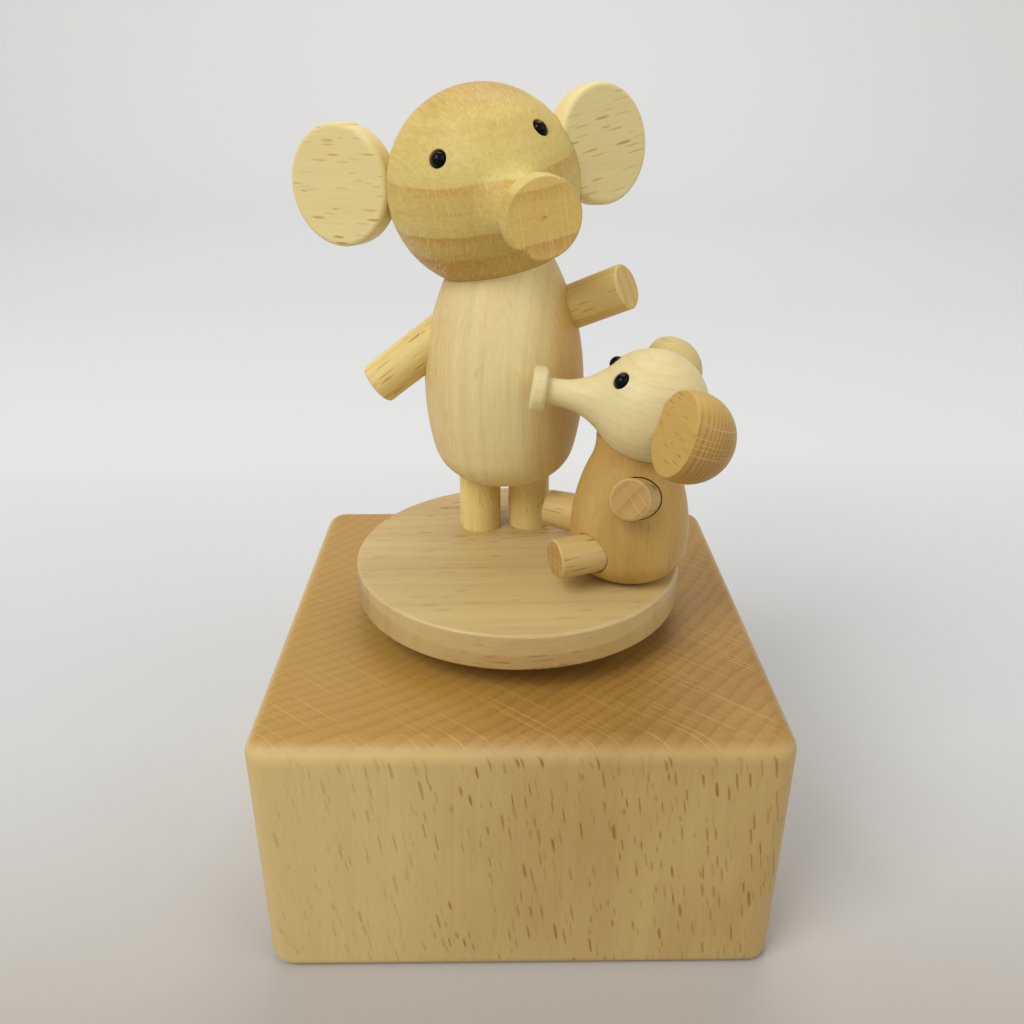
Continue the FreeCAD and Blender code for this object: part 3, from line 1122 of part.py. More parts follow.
def make_eye(label, head, name):
    """A bead on a peg, and its hole, socket and the socket's eased edge in the head."""
    turned, direction = facing(head_middle(name), label)
    surface = Placement(turned.Base + direction * size(f"{name}_head_radius"), turned.Rotation)
    bead = new_body(label, surface)
    primitive(bead, "AdditiveSphere", {"Radius": "eye_radius"}, "0", "0", "-eye_depth", None)
    post(bead, "eye_peg_radius", "eye_peg_length - eye_depth", z="-eye_peg_length")
    holes = (("eye_socket_radius", "eye_socket_depth"), ("eye_peg_radius + fit_gap", "eye_hole_depth"))
    for radius, depth in holes:
        bottom = surface.multiply(Placement(Vector(0, 0, -size(depth)), Rotation()))
        bore(head, radius, f"{depth} + eye_radius", turned=inside(head, bottom))
    ball = size(f"{name}_head_radius")
    rim_depth = ball - math.sqrt(ball ** 2 - size("eye_socket_radius") ** 2) + size("eye_socket_chamfer")
    foot = surface.multiply(Placement(Vector(0, 0, -rim_depth), Rotation()))
    cone = {"Radius1": "eye_socket_radius", "Radius2": "eye_socket_radius + eye_radius",
            "Height": "eye_radius"}
    primitive(head, "SubtractiveCone", cone, "0", "0", "0", inside(head, foot))


def disc_ear(label, name):
    """A round disc with rounded edges."""
    face, direction = beside(head_middle(name), label)
    back = face.Base - direction * size(f"{name}_ear_thickness")
    ear = new_body(label, Placement(back, face.Rotation))
    post(ear, f"{label}_radius", f"{name}_ear_thickness")
    ease(ear, f"{name}_ear_rounding", rim_of(size(f"{label}_radius")))
    return ear


def ball_ear(label, name):
    """A ball with one flat face."""
    ear = new_body(label, beside(head_middle(name), label)[0])
    primitive(ear, "AdditiveSphere", {"Radius": f"{label}_radius"},
              "0", "0", f"-{name}_ear_face_reach", None)
    bore(ear, f"{label}_radius", f"{label}_radius")
    ease(ear, f"{name}_ear_rounding", level_at(0))
    return ear


def make_ear(label, name):
    """An ear whose back is hollowed to sit on the head."""
    ear = ball_ear(label, name) if name == "calf" else disc_ear(label, name)
    ball = Placement(head_middle(name), Rotation())
    primitive(ear, "SubtractiveSphere", {"Radius": f"{name}_head_radius + fit_gap"},
              "0", "0", "0", inside(ear, ball))


# Two wooden elephants, each from ten pieces; left and right are their own
for name, radius in (("elephant", "limb_radius"), ("calf", "calf_limb_radius")):
    torso = turned_body(name)
    head = turned_head(name)
    ball = Placement(head_middle(name), Rotation())
    primitive(torso, "SubtractiveSphere", {"Radius": f"{name}_head_radius + fit_gap"},
              "0", "0", "0", inside(torso, ball))
    for side in ("left", "right"):
        make_limb(f"{name}_{side}_leg", name, torso, radius, f"{name}_leg_length")
        make_limb(f"{name}_{side}_arm", name, torso, radius, f"{name}_arm_length")
        make_eye(f"{name}_{side}_eye", head, name)
        make_ear(f"{name}_{side}_ear", name)

doc.recompute()
failed = [thing.Name for thing in doc.Objects if "Invalid" in thing.State or "Error" in thing.State]
if failed:
    raise RuntimeError("failed: " + ", ".join(failed))
os.makedirs("parts", exist_ok=True)
for piece in pieces:
    shape = piece.Shape
    if shape.isNull() or not shape.isValid() or not shape.Solids:
        raise RuntimeError("not a sound solid: " + piece.Label)
    shape.exportStep(f"parts/{piece.Label}.step")
    print(f"{piece.Label}: {len(shape.Solids)} solid(s), {shape.Volume:.2f} mm3")
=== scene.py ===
# %% [markdown]
# # A rotating music box with two wooden elephants
#
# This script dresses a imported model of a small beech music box. The solids come with their
# real sizes and places, so no piece is moved here. What is left to do is to give each piece
# its wood, to light the object softly and to look at it from where the photograph was taken.

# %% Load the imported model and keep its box
import json
import math
import bmesh
import bpy
from mathutils import Matrix, Vector

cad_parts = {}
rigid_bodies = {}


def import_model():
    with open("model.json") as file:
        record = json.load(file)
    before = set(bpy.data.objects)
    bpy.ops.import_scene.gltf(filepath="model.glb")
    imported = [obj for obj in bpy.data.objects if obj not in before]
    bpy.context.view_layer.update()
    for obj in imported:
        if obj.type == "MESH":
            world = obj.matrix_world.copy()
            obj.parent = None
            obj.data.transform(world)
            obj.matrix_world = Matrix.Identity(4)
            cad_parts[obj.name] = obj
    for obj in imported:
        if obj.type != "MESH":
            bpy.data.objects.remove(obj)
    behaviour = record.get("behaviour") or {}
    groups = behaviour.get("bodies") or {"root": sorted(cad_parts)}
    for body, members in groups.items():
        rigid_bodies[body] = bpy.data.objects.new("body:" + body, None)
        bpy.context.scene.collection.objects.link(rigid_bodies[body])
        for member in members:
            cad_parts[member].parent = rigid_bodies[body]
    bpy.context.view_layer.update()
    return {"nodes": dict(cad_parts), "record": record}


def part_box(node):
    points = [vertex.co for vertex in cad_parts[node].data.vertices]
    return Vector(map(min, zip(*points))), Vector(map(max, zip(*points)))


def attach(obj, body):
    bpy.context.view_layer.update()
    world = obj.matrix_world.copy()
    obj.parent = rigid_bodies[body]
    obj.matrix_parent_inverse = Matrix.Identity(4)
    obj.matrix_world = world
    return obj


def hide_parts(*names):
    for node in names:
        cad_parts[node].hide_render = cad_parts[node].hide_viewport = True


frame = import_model()
nodes = frame["nodes"]
MM = 0.001
print("nodes:", len(nodes))

# %% [markdown]
# ## The camera
#
# The photograph was taken from close by, in front of the block and a little above the elephants'
# heads, looking about 25 degrees down. A camera can be aimed by eye, but then every later
# comparison is a little off. So its place and direction were solved once from the block's edges
# and the disc's rim, and the script only states them: where the lens is, and which way is right
# and up in the picture.

# %% Place the camera
LENS_PLACE = Vector((-2.3, -117.4, 104.6)) * MM
PICTURE_RIGHT = Vector((0.99993, -0.0120, 0.0016))
PICTURE_UP = Vector((0.0036, 0.4218, 0.9067))
FOCAL_LENGTH = 32.77
SENSOR_WIDTH = 36.0
NEAREST_SEEN = 0.01
BOX_MIDDLE = Vector((0, 0, 0.05))


def placed(right, up, place):
    """A camera's matrix from its right and up directions."""
    back = right.cross(up).normalized()
    turn = Matrix((right, up, back)).transposed()
    return Matrix.Translation(place) @ turn.to_4x4()


scene = bpy.context.scene
camera = bpy.data.objects.new("camera", bpy.data.cameras.new("camera"))
camera.data.lens = FOCAL_LENGTH
camera.data.sensor_width = SENSOR_WIDTH
camera.data.clip_start = NEAREST_SEEN
camera.matrix_world = placed(PICTURE_RIGHT.normalized(), PICTURE_UP.normalized(), LENS_PLACE)
scene.collection.objects.link(camera)
scene.camera = camera
print("camera", round((LENS_PLACE - BOX_MIDDLE).length / MM), "mm from the box's middle")

# %% [markdown]
# ## Helpers for shader trees
#
# Every finish below is a small tree of nodes. Such a tree can be wired node by node, but that
# takes about five lines for each node. A few helpers keep the trees as short as the sums that
# they stand for: an input is either a plain value or the output of an earlier node.

# %% Add nodes with few words


def plug(tree, value, socket):
    """Links an output to a socket, or writes a plain value into it."""
    if isinstance(value, bpy.types.NodeSocket):
        tree.links.new(value, socket)
    else:
        socket.default_value = value


def add(tree, kind, inputs=None, **settings):
    """A node of a kind, with its settings and its inputs set or linked."""
    made = tree.nodes.new(kind)
    for name, value in settings.items():
        setattr(made, name, value)
    for key, value in (inputs or {}).items():
        plug(tree, value, made.inputs[key])
    return made


def sums(tree, operation, *values, clamp=False):
    """The result of one Math node."""
    inputs = dict(enumerate(values))
    return add(tree, "ShaderNodeMath", inputs, operation=operation, use_clamp=clamp).outputs[0]


def vectors(tree, operation, *values):
    """The result of one Vector Math node."""
    made = add(tree, "ShaderNodeVectorMath", dict(enumerate(values)), operation=operation)
    return made.outputs["Value" if operation in ("DOT_PRODUCT", "LENGTH") else "Vector"]


print("helpers made:", [helper.__name__ for helper in (plug, add, sums, vectors)])

# %% Split and join places, and add steps, noise and mixes


def parts(tree, vector):
    """The X, Y and Z of a vector."""
    return add(tree, "ShaderNodeSeparateXYZ", {0: vector}).outputs


def joined(tree, x, y, z):
    """A vector from its X, Y and Z."""
    return add(tree, "ShaderNodeCombineXYZ", {"X": x, "Y": y, "Z": z}).outputs[0]


def ramp(tree, value, low, high, bottom=0.0, top=1.0):
    """A smooth step of a value from one level to another."""
    inputs = {"Value": value, "From Min": low, "From Max": high, "To Min": bottom, "To Max": top}
    made = add(tree, "ShaderNodeMapRange", inputs, interpolation_type="SMOOTHSTEP")
    return made.outputs["Result"]


def noise(tree, place, detail=2.0, rough=0.5):
    """A soft noise node, with about one feature to each unit of the place."""
    inputs = {"Vector": place, "Scale": 1.0, "Detail": detail, "Roughness": rough}
    return add(tree, "ShaderNodeTexNoise", inputs)


def blended(tree, share, first, second):
    """Two colours mixed by a share."""
    mixer = add(tree, "ShaderNodeMix", data_type="RGBA", clamp_factor=True)
    for number, value in ((0, share), (6, first), (7, second)):
        plug(tree, value, mixer.inputs[number])
    return mixer.outputs[2]


print("helpers made:", [helper.__name__ for helper in (parts, joined, ramp, noise, blended)])

# %% [markdown]
# ## Beech, as a solid
#
# Beech is plain wood with three marks. Its growth rings are thin, slightly darker layers, sharp
# on the bark side. Its fibres make fine streaks along the grain. And its rays, thin upright
# sheets that run from the middle of the tree outwards, show as short brown dashes on a flat-sawn
# face and as pale lines across the rings on end grain. These marks could be drawn on each
# surface, but then they would not meet at the edges. So all of it is made in space: a ball, a
# disc and a block cut from the same group each show what the real cut would show. The place
# comes in with Z along the fibre and X out from the middle of the tree, in millimetres.

# %% Open the beech group
WHITE = (1.0, 1.0, 1.0, 1.0)
COLOURS = ("Pale", "Dark", "Fleck", "End Grain", "End Dark", "End Ray")
# Widths, lengths, spacings and the way to the pith are in mm. Strengths go from 0 to about 1.
NUMBERS = {
    "Layer": 0.0, "Ring Width": 1.5, "Ring Strength": 0.3, "Band Width": 6.0,
    "Band Strength": 0.4, "Streak Strength": 0.4, "Fleck Strength": 0.6, "Fleck Length": 1.2,
    "Fleck Width": 0.12, "Fleck Spacing": 1.0, "Ray Reach": 7.0, "Fleck Fade": 0.5,
    "Fleck Follow": 0.0, "Lean": 0.0, "End Strength": 1.0, "End From": 0.80, "End Rings": 0.5,
    "End Rays": 0.5, "End Ray Spacing": 0.8, "Pith": 60.0, "Seed": 0.0}


def shader_group(name, inputs, outputs):
    """An empty shader group with its sockets, and the nodes at its two ends."""
    tree = bpy.data.node_groups.new(name, "ShaderNodeTree")
    for label, kind, value in inputs:
        kind = "NodeSocket" + kind
        socket = tree.interface.new_socket(label, in_out="INPUT", socket_type=kind)
        socket.default_value = value
    for label, kind in outputs:
        tree.interface.new_socket(label, in_out="OUTPUT", socket_type="NodeSocket" + kind)
    entry, end = tree.nodes.new("NodeGroupInput"), tree.nodes.new("NodeGroupOutput")
    return tree, entry.outputs, end.inputs


beech, given, result = shader_group(
    "beech",
    [("Place", "Vector", (0, 0, 0)), ("Fibre", "Vector", (0, 0, 1))]
    + [(label, "Color", WHITE) for label in COLOURS]
    + [(label, "Float", value) for label, value in NUMBERS.items()],
    [("Color", "Color"), ("Roughness", "Float"), ("Height", "Float")])
shift = joined(beech, given["Seed"], given["Seed"], given["Seed"])
seeded = vectors(beech, "ADD", given["Place"], shift)
print("beech takes", len(COLOURS), "colours and", len(NUMBERS), "numbers")

# %% Growth rings: distance from the tree's middle, a little bent
SWAY_SCALE, SWAY_REACH = (0.05, 0.05, 0.012), (4.0, 4.0, 0.0)
BAND_FROM, BAND_TO = 0.38, 0.66
RING_DRIFT = 2.5
LATE_FROM, LATE_FULL, LATE_GONE = 0.35, 0.92, 0.93
broad = noise(beech, vectors(beech, "MULTIPLY", seeded, SWAY_SCALE), 2.0)
sway = vectors(beech, "SUBTRACT", broad.outputs["Color"], (0.5, 0.5, 0.5))
sway = vectors(beech, "MULTIPLY", sway, SWAY_REACH)
bent = parts(beech, vectors(beech, "ADD", given["Place"], sway))
outward = sums(beech, "ADD", bent["X"], given["Pith"])
reach = sums(beech, "SQRT", sums(beech, "ADD", sums(beech, "MULTIPLY", outward, outward),
                                 sums(beech, "MULTIPLY", bent["Y"], bent["Y"])))
band_place = sums(beech, "DIVIDE", sums(beech, "ADD", reach, given["Seed"]), given["Band Width"])
slow = add(beech, "ShaderNodeTexNoise", {"W": band_place, "Scale": 1.0, "Detail": 2.0},
           noise_dimensions="1D").outputs["Fac"]
bands = ramp(beech, slow, BAND_FROM, BAND_TO)
years = sums(beech, "ADD", sums(beech, "DIVIDE", reach, given["Ring Width"]),
             sums(beech, "MULTIPLY", slow, RING_DRIFT))
year = sums(beech, "FRACT", years)
late = sums(beech, "MULTIPLY", ramp(beech, year, LATE_FROM, LATE_FULL),
            ramp(beech, year, 1.0, LATE_GONE))
print("a ring darkens over", round(100 * (LATE_FULL - LATE_FROM)), "% of its width, then stops")

# %% Fibre streaks and pores
STREAK_SCALE, PORE_SCALE = (2.2, 2.2, 0.05), (9.0, 9.0, 0.35)
streaks = noise(beech, vectors(beech, "MULTIPLY", seeded, STREAK_SCALE), 4.0, 0.6).outputs["Fac"]
pores = noise(beech, vectors(beech, "MULTIPLY", seeded, PORE_SCALE), 2.0, 0.5).outputs["Fac"]
even_streaks = sums(beech, "SUBTRACT", streaks, 0.5)
even_pores = sums(beech, "SUBTRACT", pores, 0.5)
print("streaks are", round(STREAK_SCALE[0] / STREAK_SCALE[2]), "times as long as wide")

# %% One ray to each cell of space, and how much of it is here


def nearest_ray(tree, place, cell, dimensions="3D"):
    """The way from the nearest ray's middle in mm, and three chances of that ray's own."""
    cells = vectors(tree, "DIVIDE", place, cell)
    nearest = add(tree, "ShaderNodeTexVoronoi",
                  {"Vector": cells, "Scale": 1.0, "Randomness": 1.0},
                  voronoi_dimensions=dimensions)
    away = vectors(tree, "SUBTRACT", cells, nearest.outputs["Position"])
    return vectors(tree, "MULTIPLY", away, cell), parts(tree, nearest.outputs["Color"])


def ray_mask(tree, away, span, full, strength):
    """How much of a ray is here: nothing past its span, and all of it in its core."""
    distance = vectors(tree, "LENGTH", vectors(tree, "DIVIDE", away, span))
    return sums(tree, "MULTIPLY", ramp(tree, distance, 1.0, full), strength)


print("helpers made:", [helper.__name__ for helper in (nearest_ray, ray_mask)])

# %% Rays as short dashes on the long grain, each with its own length, width and strength
CELL_DEEP, CELL_ACROSS, CELL_ALONG = 2.3, 1.5, 3.4
LEAST_LENGTH, LEAST_WIDTH, LEAST_STRENGTH = 0.35, 0.6, 0.25
FULL_DASH = 0.35
run = parts(beech, seeded)
leaned = sums(beech, "MULTIPLY_ADD", run["Z"], given["Lean"], run["Y"])
leaning = joined(beech, run["X"], leaned, run["Z"])
cell_size = joined(beech, sums(beech, "MULTIPLY", given["Ray Reach"], CELL_DEEP),
                   sums(beech, "MULTIPLY", given["Fleck Spacing"], CELL_ACROSS),
                   sums(beech, "MULTIPLY", given["Fleck Spacing"], CELL_ALONG))
ray_away, chance = nearest_ray(beech, leaning, cell_size)
length = sums(beech, "MULTIPLY", given["Fleck Length"],
              sums(beech, "ADD", LEAST_LENGTH, chance["X"]))
thin = sums(beech, "MULTIPLY", given["Fleck Width"], sums(beech, "ADD", LEAST_WIDTH, chance["Y"]))
ray = ray_mask(beech, ray_away, joined(beech, given["Ray Reach"], thin, length), FULL_DASH,
               sums(beech, "ADD", LEAST_STRENGTH, chance["Z"]))
print("one dash to a cell of", CELL_ACROSS, "by", CELL_ALONG, "spacings")

# %% Rays as long lines on end grain
END_RAY_LENGTH, END_RAY_THINNESS, END_CELL_DEEP = 9.0, 0.13, 2.2
LEAST_END_STRENGTH, FULL_LINE = 0.2, 0.2
# This pattern is flat, so its third size is made too large to count.
ANY_HEIGHT = 1000000.0
end_cell = joined(beech, END_CELL_DEEP * END_RAY_LENGTH, given["End Ray Spacing"], 1.0)
end_away, end_chance = nearest_ray(beech, seeded, end_cell, "2D")
end_thin = sums(beech, "MULTIPLY", given["End Ray Spacing"], END_RAY_THINNESS)
end_ray = ray_mask(beech, end_away, joined(beech, END_RAY_LENGTH, end_thin, ANY_HEIGHT),
                   FULL_LINE, sums(beech, "ADD", LEAST_END_STRENGTH, end_chance["X"]))
print("end-grain rays reach", END_RAY_LENGTH, "mm each way")

# %% Where the surface is cut across the fibre
FULLY_END = 0.995
# Dashes are whole below this share of their fade, and where the level of tone and painted light
# is at least this dark.
DASHES_WHOLE, DASHES_DARK = 0.4, 0.35
facing = add(beech, "ShaderNodeTexCoord").outputs["Normal"]
square_on = sums(beech, "ABSOLUTE", vectors(beech, "DOT_PRODUCT", facing, given["Fibre"]))
end = sums(beech, "MULTIPLY", ramp(beech, square_on, given["End From"], FULLY_END),
           given["End Strength"])
side_on = ramp(beech, square_on, given["Fleck Fade"],
               sums(beech, "MULTIPLY", given["Fleck Fade"], DASHES_WHOLE))
darker_part = sums(beech, "SUBTRACT", ramp(beech, given["Layer"], 0.0, DASHES_DARK), 1.0)
with_layer = sums(beech, "MULTIPLY_ADD", darker_part, given["Fleck Follow"], 1.0)
print("end grain is full within", round(math.degrees(math.acos(FULLY_END))),
      "degrees of square on")

# %% The long grain: how dark each spot is, and its dashes
PORE_STRENGTH = 0.25
depth = sums(beech, "MULTIPLY_ADD", bands, given["Band Strength"], given["Layer"])
depth = sums(beech, "MULTIPLY_ADD", late, given["Ring Strength"], depth)
depth = sums(beech, "MULTIPLY_ADD", even_streaks, given["Streak Strength"], depth)
depth = sums(beech, "MULTIPLY_ADD", even_pores, PORE_STRENGTH, depth, clamp=True)
wood = blended(beech, depth, given["Pale"], given["Dark"])
fleck_share = sums(beech, "MULTIPLY", sums(beech, "MULTIPLY", ray, given["Fleck Strength"]),
                   side_on)
fleck_share = sums(beech, "MULTIPLY", fleck_share, with_layer, clamp=True)
wood = blended(beech, fleck_share, wood, given["Fleck"])
print("long grain made,", len(beech.nodes), "nodes so far")

# %% The end grain: rings, fibre ends and pale rays
END_STREAK_STRENGTH, END_PORE_STRENGTH = 0.5, 0.5
end_depth = sums(beech, "MULTIPLY_ADD", late, given["End Rings"], given["Layer"])
end_depth = sums(beech, "MULTIPLY_ADD", even_streaks, END_STREAK_STRENGTH, end_depth)
end_depth = sums(beech, "MULTIPLY_ADD", even_pores, END_PORE_STRENGTH, end_depth, clamp=True)
end_wood = blended(beech, end_depth, given["End Grain"], given["End Dark"])
end_ray_share = sums(beech, "MULTIPLY", end_ray, given["End Rays"], clamp=True)
end_wood = blended(beech, end_ray_share, end_wood, given["End Ray"])
print("end grain made,", len(beech.nodes), "nodes so far")

# %% Close the group: colour, sheen and relief
STREAK_RELIEF, PORE_RELIEF, RAY_RELIEF = 0.6, 0.6, 0.4
SMOOTHEST, PORES_ROUGHER = 0.36, 0.22
relief = sums(beech, "MULTIPLY_ADD", streaks, STREAK_RELIEF,
              sums(beech, "MULTIPLY", pores, PORE_RELIEF))
relief = sums(beech, "SUBTRACT", relief, sums(beech, "MULTIPLY", ray, RAY_RELIEF))
sheen = sums(beech, "MULTIPLY_ADD", pores, PORES_ROUGHER, SMOOTHEST)
beech.links.new(blended(beech, end, wood, end_wood), result["Color"])
beech.links.new(sheen, result["Roughness"])
beech.links.new(relief, result["Height"])
print("beech group:", len(beech.nodes), "nodes")

# %% [markdown]
# ## One beech finish for each piece
#
# No two turned pieces come from the same spot of the board. One material for all of them would
# be simpler, but every piece would then show the same tree. So each piece gets its own: the same
# group, with the fibre's direction, the outward direction and the shades of that piece. A
# Mapping node turns the object's own coordinates into the group's place. Where the photograph
# shows clear broad layers, a colour ramp along one axis says how dark the wood is at each
# distance. On the block, the disc and both bodies the same ramp also holds painted light: a
# painted sheen on the back of the block's top, and painted shade on the disc's rim and on the
# bodies.

# %% Shades as they are read off a screen


def paint(red, green, blue):
    """A colour of 0 to 255, turned into Blender's linear one."""
    screen = [v / 255 for v in (red, green, blue)]
    return (*[((v + 0.055) / 1.055) ** 2.4 if v > 0.04 else v / 12.92 for v in screen], 1.0)


def shades(pale, dark, fleck=(150, 110, 58), end=(186, 146, 84), end_dark=(160, 118, 58),
           end_ray=(205, 172, 112)):
    """The six colours of one piece of beech."""
    return dict(zip(COLOURS, (paint(*c) for c in (pale, dark, fleck, end, end_dark, end_ray))))


print("middle grey on a screen is", round(paint(128, 128, 128)[0], 3), "in Blender's light")

# %% Broad levels of tone and painted light on one piece
WAVE_SCALE, PATCH_SCALE = (0.12, 0.12, 0.03), (0.1, 0.1, 0.05)
PATCH_LEAST, PATCH_MOST = 0.7, 1.3


def colour_ramp(tree, share, stops):
    """The colour of a ramp with the given places and colours."""
    node = add(tree, "ShaderNodeValToRGB", {"Fac": share})
    elements = node.color_ramp.elements
    while len(elements) < len(stops):
        elements.new(0.5)
    for element, (position, colour) in zip(elements, stops):
        element.position = position
        element.color = colour
    return node.outputs["Color"]


def tone_and_painted_light_ramp(tree, place, tone_and_painted_light, across):
    """How dark a piece is along one axis, from pairs of millimetres and depth: the wood's tone,
    and on some pieces painted shade and a painted sheen as well.
    """
    low, high = tone_and_painted_light[0][0], tone_and_painted_light[-1][0]
    wave = noise(tree, vectors(tree, "MULTIPLY", place, WAVE_SCALE), 3.0).outputs["Fac"]
    along = sums(tree, "ADD", parts(tree, place)[across], sums(tree, "SUBTRACT", wave, 0.5))
    share = sums(tree, "DIVIDE", sums(tree, "SUBTRACT", along, low), high - low, clamp=True)
    stops = [((at - low) / (high - low), (dark, dark, dark, 1.0)) for at, dark in tone_and_painted_light]
    patches = noise(tree, vectors(tree, "MULTIPLY", place, PATCH_SCALE), 2.0).outputs["Fac"]
    return sums(tree, "MULTIPLY", colour_ramp(tree, share, stops),
                ramp(tree, patches, 0.25, 0.75, PATCH_LEAST, PATCH_MOST))


print("layers sway once in about", round(1 / WAVE_SCALE[0]), "mm")

# %% Make a beech finish and give it to a piece
BUMP_DEPTH, BUMP_STRENGTH = 0.00003, 0.5


def beech_material(name, middle, fibre, outward_way, colours, tone_and_painted_light=None, across="X", shine=0.3,
                   **numbers):
    """A beech finish: its middle in mm, two directions, its colours and its broad levels of tone
    and painted light.
    """
    fibre, outward_way = Vector(fibre).normalized(), Vector(outward_way)
    outward_way = (outward_way - fibre * outward_way.dot(fibre)).normalized()
    turn = Matrix((outward_way, fibre.cross(outward_way), fibre))
    material = bpy.data.materials.new(name)
    material.use_nodes = True
    tree = material.node_tree
    place = add(tree, "ShaderNodeMapping", {
        "Vector": add(tree, "ShaderNodeTexCoord").outputs["Object"],
        "Location": -(turn @ Vector(middle)), "Rotation": turn.to_euler("XYZ"),
        "Scale": (1 / MM,) * 3}).outputs[0]
    labelled = {key.replace("_", " ").title(): value for key, value in numbers.items()}
    wood = add(tree, "ShaderNodeGroup", node_tree=beech)
    for label, value in {"Place": place, "Fibre": fibre, **colours, **labelled}.items():
        plug(tree, value, wood.inputs[label])
    if tone_and_painted_light:
        plug(tree, tone_and_painted_light_ramp(tree, place, tone_and_painted_light, across), wood.inputs["Layer"])
    bump = add(tree, "ShaderNodeBump", {
        "Height": wood.outputs["Height"], "Distance": BUMP_DEPTH, "Strength": BUMP_STRENGTH})
    shader = tree.nodes["Principled BSDF"]
    for label, value in (("Base Color", wood.outputs["Color"]), ("Normal", bump.outputs[0]),
                         ("Roughness", wood.outputs["Roughness"]), ("Specular IOR Level", shine)):
        plug(tree, value, shader.inputs[label])
    return material


def dress(name, material):
    """Gives a piece one material."""
    data = nodes[name].data
    data.materials.clear()
    data.materials.append(material)


print("relief of the wood:", round(BUMP_DEPTH / MM, 3), "mm")

# %% [markdown]
# ## The block and its cover
#
# The block is sawn from a thick post of beech and stands with its fibre upright, so its top is
# end grain: golden, with slanting growth lines and pale rays across them. Its sides are pale and
# full of short upright dashes that lean a little, and its left third is paler than the rest,
# with fainter dashes. A ramp across the block makes it paler at the back and the left and darker
# at the front right: partly the wood's own tone, partly a painted sheen on the back of the top.
# Top and sides could be two materials, but the solid group gives both at once, from one
# direction of the fibre. The cover below is a thin board with level fibre.

# %% Dress the block and its cover
block_shades = shades(pale=(211, 184, 122), dark=(164, 126, 64), fleck=(156, 112, 40),
                      end=(179, 139, 64), end_dark=(128, 86, 26), end_ray=(204, 166, 94))
# Paler at the back and left, darker at the front right: partly the wood's tone, partly a painted
# sheen on the back of the top.
block_tone_and_back_sheen = ((-46, 0.0), (-20, 0.0), (-4, 0.02), (9, 0.08), (16, 0.34), (26, 0.44),
                (36, 0.38), (46, 0.40))
dress("block", beech_material(
    "block_beech", middle=(0, 0, 18), fibre=(0.03, 0, 1), outward_way=(0.766, -0.643, 0),
    colours=block_shades, tone_and_painted_light=block_tone_and_back_sheen, shine=0.5, ring_width=1.9, ring_strength=0.04,
    band_width=20.0, band_strength=0.12, streak_strength=0.22, fleck_strength=0.85,
    fleck_length=2.1, fleck_width=0.13, fleck_spacing=0.62, fleck_follow=0.65, lean=0.11,
    end_from=0.45, end_rings=0.20, end_rays=0.55, pith=90.0, seed=3.0))
cover_shades = shades(pale=(200, 170, 116), dark=(170, 134, 80))
dress("bottom_cover", beech_material(
    "cover_beech", middle=(0, 0, 2), fibre=(1, 0, 0), outward_way=(0, 1, 0.3),
    colours=cover_shades, ring_width=2.0, pith=40.0, seed=11.0))
print("block layers from", block_tone_and_back_sheen[0][0], "to", block_tone_and_back_sheen[-1][0], "mm")

# %% [markdown]
# ## The disc
#
# The disc is a slice of a board and lies flat. Its top shows fine level streaks and faint soft
# dashes, and its rim is a little browner with clearer dashes; the browner rim is painted shade,
# as the light falls mostly from above. The rim could have a material of its own, but then a
# seam would show where it meets the top. A ramp along the board's thickness makes the same
# difference without one.

# %% Dress the disc
disc_shades = shades(pale=(205, 180, 122), dark=(172, 136, 74), fleck=(150, 106, 52),
                     end=(176, 142, 84), end_dark=(150, 110, 56), end_ray=(190, 156, 98))
# Darker below the top face: painted shade on the rim.
disc_rim_painted_shade = ((-3, 0.38), (2.2, 0.32), (2.6, 0.02), (3, 0.02))
disc_middle = (0, 0, 41)
dress("turntable_disc", beech_material(
    "disc_beech", disc_middle, fibre=(1, 0.04, 0), outward_way=(0, 1, 0.1), colours=disc_shades,
    tone_and_painted_light=disc_rim_painted_shade, across="Y", shine=0.7, ring_width=2.4, ring_strength=0.12,
    band_width=9.0, band_strength=0.25, streak_strength=0.5, fleck_strength=0.95,
    fleck_length=2.2, fleck_width=0.13, fleck_follow=0.76, fleck_spacing=0.66, ray_reach=0.45,
    pith=70.0, seed=21.0, end_strength=0.5))

# %% [markdown]
# ## The large elephant's body and head
#
# The body was turned with its fibre upright. It is pale in front and darker and golden at its
# two sides: partly the wood's tone, partly painted shade where the round sides turn from the
# light.
# The head was turned together with its trunk, so its fibre runs along the trunk: that is why the
# head, seen end on, shows its growth rings as tilted golden layers, sharp above and fading
# below, with fine pale rays across them. A plain ring pattern would give layers of equal width,
# and the real ones are not equal, so their levels are listed. Only the trunk's flat end counts
# as end grain.

# %% Directions and middles that the pieces follow


def pointing(azimuth, elevation):
    """A direction from its two angles in degrees."""
    a, e = math.radians(azimuth), math.radians(elevation)
    return Vector((math.cos(e) * math.cos(a), math.cos(e) * math.sin(a), math.sin(e)))


def middle_of(name):
    """The middle of a piece's box in mm."""
    low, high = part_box(name)
    return (low + high) / 2 / MM


HEAD_MIDDLE = Vector((-4.4, 9.2, 91.8))
TRUNK_WAY = pointing(-69.1, -4.1)
print("the large trunk points to", [round(v, 3) for v in TRUNK_WAY])

# %% Dress the large body
body_shades = shades(pale=(229, 214, 158), dark=(194, 140, 44), fleck=(178, 140, 78),
                     end=(208, 174, 92), end_dark=(180, 136, 60), end_ray=(224, 200, 136))
